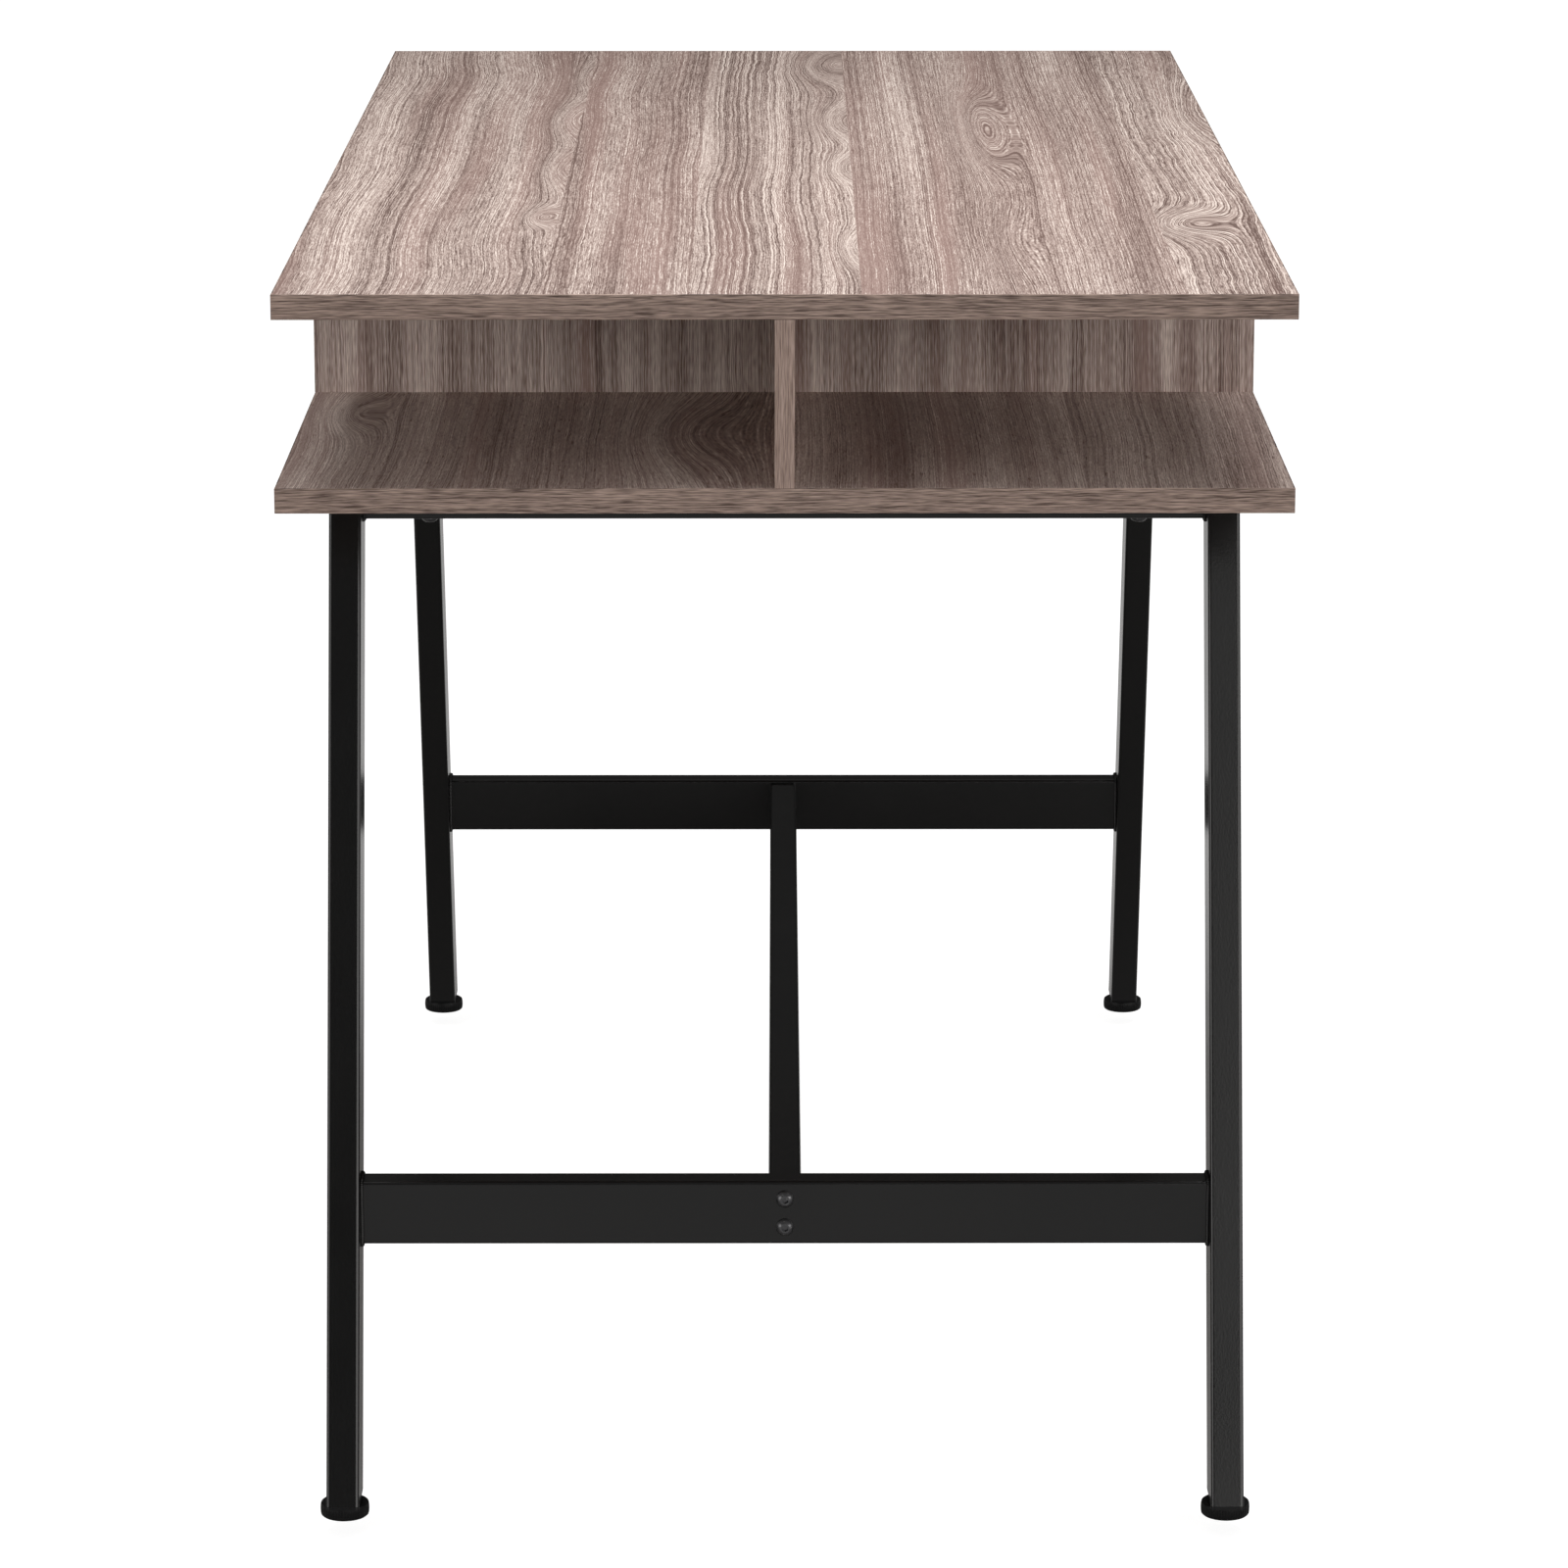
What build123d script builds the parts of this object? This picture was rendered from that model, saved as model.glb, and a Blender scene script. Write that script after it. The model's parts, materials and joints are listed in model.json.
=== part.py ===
from build123d import *
import math
import os

# A writing desk: a laminated top over an open shelf, on two welded leg frames
# that one stretcher joins.  Millimetres, +Z up.  The origin is on the floor
# under the middle of the top.  +X runs to the right-hand end of the desk, and
# the person at the desk sits on its -Y side.

# --- overall size -------------------------------------------------------------
DESK_LENGTH = 1200.0
DESK_DEPTH = 600.0
DESK_HEIGHT = 762.0

# --- boards -------------------------------------------------------------------
BOARD = 15.0                 # thickness of the top, the shelf and the cross panels
SHELF_GAP = 100.0            # clear height between the shelf and the top
END_BAY_LENGTH = 328.0       # from the end of the desk to the cross panel's face
DIVIDER = 12.0               # thickness of the board that splits each end bay
BAND = 1.0                   # thickness of the edging strips
BAND_ARRIS = 0.5             # rounding on the edging's outer corners

# --- steel frames ---------------------------------------------------------------
TUBE_WIDE = 40.0
TUBE_NARROW = 20.0
TUBE_WALL = 1.5
TUBE_CORNER = 2.0            # outer corner radius of every tube
LEG_LEAN = 16.0              # degrees, the feet stand further out than the tops
LEG_OUTER_Y = 281.0          # outer face of the legs from the middle of the desk
FOOT_X = 575.0               # centre of the levelling feet from the middle
CROSSBAR_BOTTOM = 161.5
STRETCHER_TALL = 35.0
WELD_LEG = 3.0               # leg length of the fillet welds
WELD_SLOPE = 44.0            # degrees, slope of the welds' faces

# --- levelling feet ---------------------------------------------------------------
DISC_RADIUS = 15.0
DISC_HEIGHT = 7.0
DISC_LOWER_ROUNDING = 1.4
DISC_UPPER_ROUNDING = 0.6
HUB_RADIUS = 7.0
PLUG_BOTTOM = 10.0           # underside of the plastic plug that closes a leg
PLUG_FLANGE = 2.0
PLUG_DEPTH = 14.0            # how far the plug goes up inside the leg
STUD_RADIUS = 4.0            # M8
STUD_BOTTOM = 3.3
STUD_TOP = 38.0
NUT_ACROSS = 13.0            # M8 nut, across its flats
NUT_HEIGHT = 6.5
FOOT_GAP = 0.3               # clearance at the stop between the hub and the plug

# --- machine screws ---------------------------------------------------------------
BOLT_RADIUS = 3.0            # M6
BOLT_CLEARANCE = 0.3
BOLT_HEAD_RADIUS = 5.4
BOLT_HEAD_HEIGHT = 3.3
BOLT_SOCKET = 4.0            # hexagon key size
BOLT_SOCKET_DEPTH = 2.0
BOLT_EDGE = 0.8              # straight rim under the domed head
BOLT_CROWN = 0.6             # flat ring round the socket's corners
BOLT_DOME = (0.8, 0.72)      # a point on the dome: shares of head radius and height
BOLT_POINT = 0.75            # chamfer on the end of the shank
RAIL_BOLT_Y = 220.0
RAIL_BOLT_LENGTH = 52.0
STRETCHER_BOLT_LENGTH = 30.0
STRETCHER_BOLT_PITCH = 18.0
INSERT_RADIUS = 5.0
INSERT_LENGTH = 13.0
END_PLATE = 5.0              # thickness of the tapped plates in the stretcher

# --- fittings in the boards ---------------------------------------------------------
FIT = 0.05                   # radial clearance of dowels, studs and fittings
HOLE_SPARE = 0.3             # how much deeper a blind hole is than what it takes
PIN_CHAMFER = 0.2            # chamfer on dowels and studs, as a share of their radius
DOWEL_RADIUS = 4.0
DOWEL_LENGTH = 30.0
DOWEL_IN_BOARD = 10.0
SMALL_DOWEL_RADIUS = 3.0
SCREW_RADIUS = 2.2
SCREW_LENGTH = 40.0
SCREW_HEAD_RADIUS = 4.4
SCREW_HEAD_HEIGHT = SCREW_HEAD_RADIUS - SCREW_RADIUS
SCREW_POINT = 1.76           # chamfer on the point
SCREW_RECESS = (2.2, 0.9, 1.6)   # cross recess: reach, width and depth
CAM_RADIUS = 7.4
CAM_DEPTH = 12.4
CAM_SETBACK = 24.0           # cam centre below the panel's top edge
CAM_BOLT_RADIUS = 2.5
CAM_NECK_RADIUS = 2.0
CAM_HEAD_RADIUS = 3.2
CAM_HEAD_LENGTH = 3.0
CAM_COLLAR = 2.0             # thickness of the collar that stops the bolt at the top
CAM_THREAD = 10.0
CAM_SLOT = (4.07, 1.4, 2.2)  # cross slot: reach, width and depth
CAM_MOUTH_PLAY = 0.3         # radial play of the bolt's head inside the cam
CAM_MOUTH_BACK = 2.5         # how far the mouth goes beyond the cam's axis
PANEL_DOWEL_Y = 240.0
PANEL_FASTENER_Y = 150.0
DIVIDER_FASTENER_X = (350.0, 520.0)
DIVIDER_SCREW_Z = (25.0, 75.0)   # heights above the shelf

# --- worked out from the sizes above ---------------------------------------------
HALF_LENGTH = DESK_LENGTH / 2
HALF_DEPTH = DESK_DEPTH / 2
TOP_UNDERSIDE = DESK_HEIGHT - BOARD
SHELF_TOP = TOP_UNDERSIDE - SHELF_GAP
SHELF_UNDERSIDE = SHELF_TOP - BOARD
PANEL_OUTER_X = HALF_LENGTH - END_BAY_LENGTH
PANEL_MIDDLE_X = PANEL_OUTER_X - BOARD / 2
LEG_INNER_Y = LEG_OUTER_Y - TUBE_NARROW
LEG_MIDDLE_Y = LEG_OUTER_Y - TUBE_NARROW / 2
LEG_BOTTOM = PLUG_BOTTOM + PLUG_FLANGE
CROSSBAR_MIDDLE = CROSSBAR_BOTTOM + TUBE_WIDE / 2
RAIL_MIDDLE = SHELF_UNDERSIDE - TUBE_WIDE / 2

OVERSHOOT = 1.0              # how far cutting tools pass the faces they cut

SIDES = {"right": 1, "left": -1}
ENDS = {"front": -1, "rear": 1}


def leg_x(z):
    """Distance of a leg's centre line from the middle of the desk at height z."""
    return FOOT_X - (z - LEG_BOTTOM) * math.tan(math.radians(LEG_LEAN))


CROSSBAR_X = leg_x(CROSSBAR_MIDDLE)
RAIL_X = leg_x(RAIL_MIDDLE)


# --- basic shapes -------------------------------------------------------------------
def box_between(low, high):
    """Box between its lowest and its highest corner."""
    size = [b - a for a, b in zip(low, high)]
    return Pos(*low) * Box(*size, align=(Align.MIN, Align.MIN, Align.MIN))


def rod(radius, start, end):
    """Round bar from one point to another."""
    run = Vector(*end) - Vector(*start)
    return extrude(Plane(origin=start, z_dir=run) * Circle(radius), run.length)


def slab(low_z, high_z):
    """Level slab wider than the desk, for cutting pieces off square to the floor."""
    return box_between((-DESK_LENGTH, -DESK_DEPTH, low_z), (DESK_LENGTH, DESK_DEPTH, high_z))


def tube_section(wide, narrow):
    """Rectangular tube section with rounded corners, inside and outside."""
    outer = RectangleRounded(wide, narrow, TUBE_CORNER)
    bore_corner = TUBE_CORNER - TUBE_WALL
    return outer - RectangleRounded(wide - 2 * TUBE_WALL, narrow - 2 * TUBE_WALL, bore_corner)


def cross_recess(reach, width, depth):
    """Cross-shaped pocket, open at the XY plane and going up."""
    blade = Box(2 * reach, width, depth, align=(Align.CENTER, Align.CENTER, Align.MIN))
    return blade + Rot(0, 0, 90) * blade


def screw_head(play):
    """Cone of a screw's flat head from zero up, with radial play added for its sink."""
    upright = (Align.CENTER, Align.CENTER, Align.MIN)
    return Cone(SCREW_HEAD_RADIUS + play, SCREW_RADIUS + play, SCREW_HEAD_HEIGHT, align=upright)


def hole_up(radius, x, y, mouth_z, depth):
    """Blind hole going up from mouth_z, a little wider and deeper than what it takes."""
    return rod(radius + FIT, (x, y, mouth_z - OVERSHOOT), (x, y, mouth_z + depth + HOLE_SPARE))


def along_x(x, y, z, side):
    """Placement that turns a piece built along +Z so that it points outwards along X."""
    return Pos(x, y, z) * Rot(0, 90 * side, 0)


def both_ways(distance):
    """A distance to each side of the middle."""
    return (-distance, distance)


# --- fasteners, each along +Z with the underside of its head or its end at zero --------
def button_bolt(length):
    """Domed bolt with a hexagon socket: the head lies below zero, the shank above."""
    rim = (BOLT_HEAD_RADIUS, -BOLT_EDGE)
    crown = (BOLT_SOCKET / math.sqrt(3) + BOLT_CROWN, -BOLT_HEAD_HEIGHT)
    swell = (BOLT_HEAD_RADIUS * BOLT_DOME[0], -BOLT_HEAD_HEIGHT * BOLT_DOME[1])
    under = Polyline((0, 0), (BOLT_HEAD_RADIUS, 0), rim)
    dome = ThreePointArc(rim, swell, crown)
    close = Polyline(crown, (0, -BOLT_HEAD_HEIGHT), (0, 0))
    head = revolve(make_face(Plane.XZ * (under + dome + close)), Axis.Z)
    socket = RegularPolygon(BOLT_SOCKET / 2, 6, major_radius=False)
    head -= Pos(0, 0, -BOLT_HEAD_HEIGHT) * extrude(socket, BOLT_SOCKET_DEPTH)
    shank = rod(BOLT_RADIUS, (0, 0, 0), (0, 0, length))
    return head + chamfer(shank.edges().sort_by(Axis.Z)[-1], BOLT_POINT)


def wood_screw():
    """Countersunk screw: its flat head starts at zero and the point is up."""
    shank = rod(SCREW_RADIUS, (0, 0, 0), (0, 0, SCREW_LENGTH))
    shank = chamfer(shank.edges().sort_by(Axis.Z)[-1], SCREW_POINT)
    return screw_head(0) + shank - cross_recess(*SCREW_RECESS)


def dowel(radius):
    """Hardwood dowel with chamfered ends, from zero up."""
    pin = rod(radius, (0, 0, 0), (0, 0, DOWEL_LENGTH))
    return chamfer(pin.edges().filter_by(GeomType.CIRCLE), radius * PIN_CHAMFER)


def cam_bolt():
    """Connecting bolt for a cam: threaded end above zero, shank and head below."""
    thread = rod(CAM_BOLT_RADIUS, (0, 0, 0), (0, 0, CAM_THREAD))
    collar = rod(CAM_HEAD_RADIUS, (0, 0, -CAM_COLLAR), (0, 0, 0))
    neck = rod(CAM_NECK_RADIUS, (0, 0, -CAM_SETBACK), (0, 0, -CAM_COLLAR))
    ends = [(0, 0, -CAM_SETBACK + step) for step in both_ways(CAM_HEAD_LENGTH / 2)]
    return thread + collar + neck + rod(CAM_HEAD_RADIUS, *ends)


def cam_lock():
    """Cam along +Z from its slotted face at zero, with the way in for the bolt on +Y."""
    cam = rod(CAM_RADIUS, (0, 0, 0), (0, 0, CAM_DEPTH))
    cam -= cross_recess(*CAM_SLOT)
    back = (0, -CAM_MOUTH_BACK, BOARD / 2)
    mouth = (0, CAM_RADIUS + OVERSHOOT, BOARD / 2)
    return cam - rod(CAM_HEAD_RADIUS + CAM_MOUTH_PLAY, back, mouth)


def threaded_insert():
    """Tapped steel insert for a board, from zero up."""
    sleeve = rod(INSERT_RADIUS - FIT, (0, 0, 0), (0, 0, INSERT_LENGTH))
    return sleeve - rod(BOLT_RADIUS + FIT, (0, 0, -OVERSHOOT), (0, 0, INSERT_LENGTH + OVERSHOOT))


# --- boards and edging ----------------------------------------------------------------
def end_band(side, half_depth, low_z, high_z):
    """Edging strip across one end of a board, as wide as the board is deep."""
    outer, inner = side * HALF_LENGTH, side * (HALF_LENGTH - BAND)
    strip = box_between((min(outer, inner), -half_depth, low_z), (max(outer, inner), half_depth, high_z))
    face = strip.faces().sort_by(Axis.X)[-1 if side > 0 else 0]
    return fillet(face.edges(), BAND_ARRIS)


def long_band(end, low_x, high_x, low_z, high_z, rounded=Axis.X):
    """Edging strip along the front or the rear of a board."""
    outer, inner = end * HALF_DEPTH, end * (HALF_DEPTH - BAND)
    strip = box_between((low_x, min(outer, inner), low_z), (high_x, max(outer, inner), high_z))
    face = strip.faces().sort_by(Axis.Y)[-1 if end > 0 else 0]
    return fillet(face.edges().filter_by(rounded), BAND_ARRIS)


def board_bands(low_z, high_z):
    """The four edging strips of a full-size board."""
    reach = HALF_LENGTH - BAND
    strips = [end_band(side, HALF_DEPTH, low_z, high_z) for side in SIDES.values()]
    return strips + [long_band(end, -reach, reach, low_z, high_z) for end in ENDS.values()]


def board_core(low_z, high_z):
    """A full-size board inside its edging."""
    reach = (HALF_LENGTH - BAND, HALF_DEPTH - BAND)
    return box_between((-reach[0], -reach[1], low_z), (reach[0], reach[1], high_z))


def top_panel():
    """The desk top, drilled underneath for its dowels and cam bolts."""
    board = board_core(TOP_UNDERSIDE, DESK_HEIGHT)
    for side in SIDES.values():
        x = side * PANEL_MIDDLE_X
        for y in both_ways(PANEL_DOWEL_Y):
            board -= hole_up(DOWEL_RADIUS, x, y, TOP_UNDERSIDE, DOWEL_IN_BOARD)
        for y in both_ways(PANEL_FASTENER_Y):
            board -= hole_up(CAM_BOLT_RADIUS, x, y, TOP_UNDERSIDE, CAM_THREAD)
        for divider_x in DIVIDER_FASTENER_X:
            board -= hole_up(SMALL_DOWEL_RADIUS, side * divider_x, 0, TOP_UNDERSIDE, DOWEL_IN_BOARD)
    return board


def screw_hole(x, y):
    """Countersunk hole through the shelf, from below."""
    low, high = SHELF_UNDERSIDE - OVERSHOOT, SHELF_TOP + OVERSHOOT
    clearance = rod(SCREW_RADIUS + FIT, (x, y, low), (x, y, high))
    return clearance + Pos(x, y, SHELF_UNDERSIDE) * screw_head(FIT)


def shelf_screw_places():
    """Where screws go up through the shelf: into the cross panels and the dividers."""
    places = []
    for side in SIDES.values():
        places += [(side * PANEL_MIDDLE_X, y) for y in both_ways(PANEL_FASTENER_Y)]
        places += [(side * x, 0) for x in DIVIDER_FASTENER_X]
    return places


def shelf_panel():
    """The shelf, drilled for dowels from above and for screws and inserts from below."""
    board = board_core(SHELF_UNDERSIDE, SHELF_TOP)
    for x, y in shelf_screw_places():
        board -= screw_hole(x, y)
    for side in SIDES.values():
        for y in both_ways(PANEL_DOWEL_Y):
            x = side * PANEL_MIDDLE_X
            floor = SHELF_TOP - DOWEL_IN_BOARD - HOLE_SPARE
            board -= rod(DOWEL_RADIUS + FIT, (x, y, floor), (x, y, SHELF_TOP + OVERSHOOT))
        for y in both_ways(RAIL_BOLT_Y):
            board -= hole_up(INSERT_RADIUS, side * RAIL_X, y, SHELF_UNDERSIDE, INSERT_LENGTH)
    return board


def panel_faces(side):
    """The two faces of a cross panel along X, the lower one first."""
    return sorted((side * PANEL_OUTER_X, side * (PANEL_OUTER_X - BOARD)))


def cross_panel(side):
    """Upright board across the full depth, drilled for its cams, dowels and screws."""
    reach = HALF_DEPTH - BAND
    faces = panel_faces(side)
    board = box_between((faces[0], -reach, SHELF_TOP), (faces[1], reach, TOP_UNDERSIDE))
    x = side * PANEL_MIDDLE_X
    inner_x = side * (PANEL_OUTER_X - BOARD)
    start_x = inner_x - side * OVERSHOOT
    cam_z = TOP_UNDERSIDE - CAM_SETBACK
    cam_floor = inner_x + side * (CAM_DEPTH + FIT)
    in_panel = DOWEL_LENGTH - DOWEL_IN_BOARD
    for y in both_ways(PANEL_DOWEL_Y):
        board -= hole_up(DOWEL_RADIUS, x, y, SHELF_TOP, in_panel)
        dowel_end = TOP_UNDERSIDE - in_panel - HOLE_SPARE
        board -= rod(DOWEL_RADIUS + FIT, (x, y, dowel_end), (x, y, DESK_HEIGHT))
    for y in both_ways(PANEL_FASTENER_Y):
        board -= rod(CAM_RADIUS + FIT, (start_x, y, cam_z), (cam_floor, y, cam_z))
        board -= rod(CAM_HEAD_RADIUS + FIT, (x, y, cam_z), (x, y, DESK_HEIGHT))
        board -= hole_up(SCREW_RADIUS, x, y, SHELF_TOP, SCREW_LENGTH - BOARD)
    for height in DIVIDER_SCREW_Z:
        z = SHELF_TOP + height
        outer_x = side * (PANEL_OUTER_X + OVERSHOOT)
        board -= rod(SCREW_RADIUS + FIT, (start_x, 0, z), (outer_x, 0, z))
        board -= along_x(inner_x, 0, z, side) * screw_head(FIT)
    return board


def cross_panel_bands(side):
    """Edging on the front and rear edges of a cross panel."""
    faces = panel_faces(side)
    return [long_band(end, *faces, SHELF_TOP, TOP_UNDERSIDE, Axis.Z) for end in ENDS.values()]


def divider(side):
    """Board along the middle of an end bay, drilled for its dowels and screws."""
    ends = sorted((side * PANEL_OUTER_X, side * (HALF_LENGTH - BAND)))
    board = box_between((ends[0], -DIVIDER / 2, SHELF_TOP), (ends[1], DIVIDER / 2, TOP_UNDERSIDE))
    dowel_end = TOP_UNDERSIDE - DOWEL_LENGTH + DOWEL_IN_BOARD - HOLE_SPARE
    for place in DIVIDER_FASTENER_X:
        x = side * place
        board -= rod(SMALL_DOWEL_RADIUS + FIT, (x, 0, dowel_end), (x, 0, DESK_HEIGHT))
        board -= hole_up(SCREW_RADIUS, x, 0, SHELF_TOP, SCREW_LENGTH - BOARD)
    for height in DIVIDER_SCREW_Z:
        z = SHELF_TOP + height
        screw_end = side * (PANEL_OUTER_X - BOARD + SCREW_LENGTH + HOLE_SPARE)
        board -= rod(SCREW_RADIUS + FIT, (side * PANEL_MIDDLE_X, 0, z), (screw_end, 0, z))
    return board


def divider_band(side):
    """Edging on the outer end of a divider."""
    outer, inner = side * HALF_LENGTH, side * (HALF_LENGTH - BAND)
    low = (min(outer, inner), -DIVIDER / 2, SHELF_TOP)
    strip = box_between(low, (max(outer, inner), DIVIDER / 2, TOP_UNDERSIDE))
    face = strip.faces().sort_by(Axis.X)[-1 if side > 0 else 0]
    return fillet(face.edges().filter_by(Axis.Z), BAND_ARRIS)


def panel_dowels():
    """Dowels between the cross panels and the boards above and below them."""
    pins = []
    for side in SIDES.values():
        for y in both_ways(PANEL_DOWEL_Y):
            x = side * PANEL_MIDDLE_X
            pins.append(Pos(x, y, SHELF_TOP - DOWEL_IN_BOARD) * dowel(DOWEL_RADIUS))
            pins.append(Pos(x, y, TOP_UNDERSIDE + DOWEL_IN_BOARD - DOWEL_LENGTH) * dowel(DOWEL_RADIUS))
    return pins


def divider_dowels():
    """Dowels between the dividers and the top."""
    z = TOP_UNDERSIDE + DOWEL_IN_BOARD - DOWEL_LENGTH
    places = [side * x for side in SIDES.values() for x in DIVIDER_FASTENER_X]
    return [Pos(x, 0, z) * dowel(SMALL_DOWEL_RADIUS) for x in places]


def cam_places():
    """Where cams lock the cross panels to the top."""
    return [(side, y) for side in SIDES.values() for y in both_ways(PANEL_FASTENER_Y)]


def cam_bolts():
    """The bolts that hang from the top into the cams."""
    return [Pos(side * PANEL_MIDDLE_X, y, TOP_UNDERSIDE) * cam_bolt() for side, y in cam_places()]


def cam_locks():
    """The cams, sunk in the inner faces of the cross panels."""
    z = TOP_UNDERSIDE - CAM_SETBACK
    locks = []
    for side, y in cam_places():
        mouth_up = Rot(0, 0, 90 * side)
        locks.append(along_x(side * (PANEL_OUTER_X - BOARD), y, z, side) * mouth_up * cam_lock())
    return locks


def shelf_screws():
    """Screws up through the shelf into the cross panels and dividers."""
    return [Pos(x, y, SHELF_UNDERSIDE) * wood_screw() for x, y in shelf_screw_places()]


def divider_screws():
    """Screws through the cross panels into the inner ends of the dividers."""
    screws = []
    for side in SIDES.values():
        inner_x = side * (PANEL_OUTER_X - BOARD)
        for height in DIVIDER_SCREW_Z:
            screws.append(along_x(inner_x, 0, SHELF_TOP + height, side) * wood_screw())
    return screws


# --- steel frames ----------------------------------------------------------------------
def leaning(section, side, end, low_z, high_z):
    """Length of a leg-shaped section between two heights, cut level at both ends."""
    lean = math.radians(LEG_LEAN)
    rise = (-side * math.sin(lean), 0, math.cos(lean))
    across = (math.cos(lean), 0, side * math.sin(lean))
    start_z = low_z - TUBE_WIDE
    start = (side * leg_x(start_z), end * LEG_MIDDLE_Y, start_z)
    run = (high_z - start_z + TUBE_WIDE) / math.cos(lean)
    bar = extrude(Plane(origin=start, x_dir=across, z_dir=rise) * section, run)
    return bar & slab(low_z, high_z)


def leg(side, end):
    """One leg, from its plug up to the underside of the shelf."""
    return leaning(tube_section(TUBE_WIDE, TUBE_NARROW), side, end, LEG_BOTTOM, SHELF_UNDERSIDE)


def bar_along_y(x, z, section, reach):
    """Tube along Y between plus and minus reach, with its wide side upright."""
    plane = Plane(origin=(x, -reach, z), x_dir=(0, 0, 1), z_dir=(0, 1, 0))
    return extrude(plane * section, 2 * reach)


def top_rail(side):
    """Tube between the tops of two legs, drilled for the bolts to the shelf."""
    x = side * RAIL_X
    bar = bar_along_y(x, RAIL_MIDDLE, tube_section(TUBE_WIDE, TUBE_NARROW), LEG_INNER_Y)
    low, high = SHELF_UNDERSIDE - TUBE_WIDE - OVERSHOOT, SHELF_UNDERSIDE + OVERSHOOT
    for y in both_ways(RAIL_BOLT_Y):
        bar -= rod(BOLT_RADIUS + BOLT_CLEARANCE, (x, y, low), (x, y, high))
    return bar


def stretcher_bolt_heights():
    """Heights of the two bolts at each end of the stretcher."""
    return [CROSSBAR_MIDDLE + step for step in both_ways(STRETCHER_BOLT_PITCH / 2)]


def crossbar(side):
    """Tube between two legs, drilled for the bolts to the stretcher."""
    x = side * CROSSBAR_X
    bar = bar_along_y(x, CROSSBAR_MIDDLE, tube_section(TUBE_WIDE, TUBE_NARROW), LEG_INNER_Y)
    for z in stretcher_bolt_heights():
        ends = [(x + step, 0, z) for step in both_ways(TUBE_NARROW)]
        bar -= rod(BOLT_RADIUS + BOLT_CLEARANCE, *ends)
    return bar


def weld_bead(x, z, end):
    """Fillet weld round the end of a tube, on the inner face of a leg."""
    wall_y = end * LEG_INNER_Y
    plane = Plane(origin=(x, wall_y, z), x_dir=(0, 0, 1), z_dir=(0, -end, 0))
    grow = 2 * WELD_LEG
    foot = RectangleRounded(TUBE_WIDE + grow, TUBE_NARROW + grow, TUBE_CORNER + WELD_LEG)
    bead = extrude(plane * foot, WELD_LEG, taper=WELD_SLOPE)
    tube = RectangleRounded(TUBE_WIDE, TUBE_NARROW, TUBE_CORNER)
    return bead - extrude(plane * tube, 2 * WELD_LEG)


def frame_welds(side):
    """Welds at both ends of the crossbar and of the top rail."""
    beads = []
    for end in ENDS.values():
        beads.append(weld_bead(side * CROSSBAR_X, CROSSBAR_MIDDLE, end))
        beads.append(weld_bead(side * RAIL_X, RAIL_MIDDLE, end) & slab(0, SHELF_UNDERSIDE))
    return beads


def stretcher():
    """Tube along the desk between the two crossbars."""
    reach = CROSSBAR_X - TUBE_NARROW / 2
    plane = Plane(origin=(-reach, 0, CROSSBAR_MIDDLE), x_dir=(0, 0, 1), z_dir=(1, 0, 0))
    return extrude(plane * tube_section(STRETCHER_TALL, TUBE_NARROW), 2 * reach)


def stretcher_end_plates():
    """Tapped plates welded inside the ends of the stretcher."""
    plates = []
    bore_corner = TUBE_CORNER - TUBE_WALL
    for side in SIDES.values():
        outer_x = side * (CROSSBAR_X - TUBE_NARROW / 2)
        plane = Plane(origin=(outer_x, 0, CROSSBAR_MIDDLE), x_dir=(0, 0, 1), z_dir=(-side, 0, 0))
        tall = STRETCHER_TALL - 2 * (TUBE_WALL + FIT)
        narrow = TUBE_NARROW - 2 * (TUBE_WALL + FIT)
        plate = extrude(plane * RectangleRounded(tall, narrow, bore_corner), END_PLATE)
        for z in stretcher_bolt_heights():
            ends = [(outer_x + step, 0, z) for step in both_ways(2 * END_PLATE)]
            plate -= rod(BOLT_RADIUS + FIT, *ends)
        plates.append(plate)
    return plates


def stretcher_bolts():
    """Bolts through the crossbars into the stretcher's end plates."""
    bolts = []
    for side in SIDES.values():
        outer_x = side * (CROSSBAR_X + TUBE_NARROW / 2)
        for z in stretcher_bolt_heights():
            bolts.append(along_x(outer_x, 0, z, -side) * button_bolt(STRETCHER_BOLT_LENGTH))
    return bolts


def rail_bolt_places():
    """Where the top rails are bolted to the shelf."""
    return [(side * RAIL_X, y) for side in SIDES.values() for y in both_ways(RAIL_BOLT_Y)]


def rail_bolts():
    """Bolts up through the top rails into the shelf's inserts."""
    z = SHELF_UNDERSIDE - TUBE_WIDE
    return [Pos(x, y, z) * button_bolt(RAIL_BOLT_LENGTH) for x, y in rail_bolt_places()]


def shelf_inserts():
    """Threaded inserts in the underside of the shelf."""
    return [Pos(x, y, SHELF_UNDERSIDE) * threaded_insert() for x, y in rail_bolt_places()]


# --- feet ----------------------------------------------------------------------------------
def foot_axis(side, end):
    """Where a foot's upright axis meets the floor."""
    return side * FOOT_X, end * LEG_MIDDLE_Y


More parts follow.
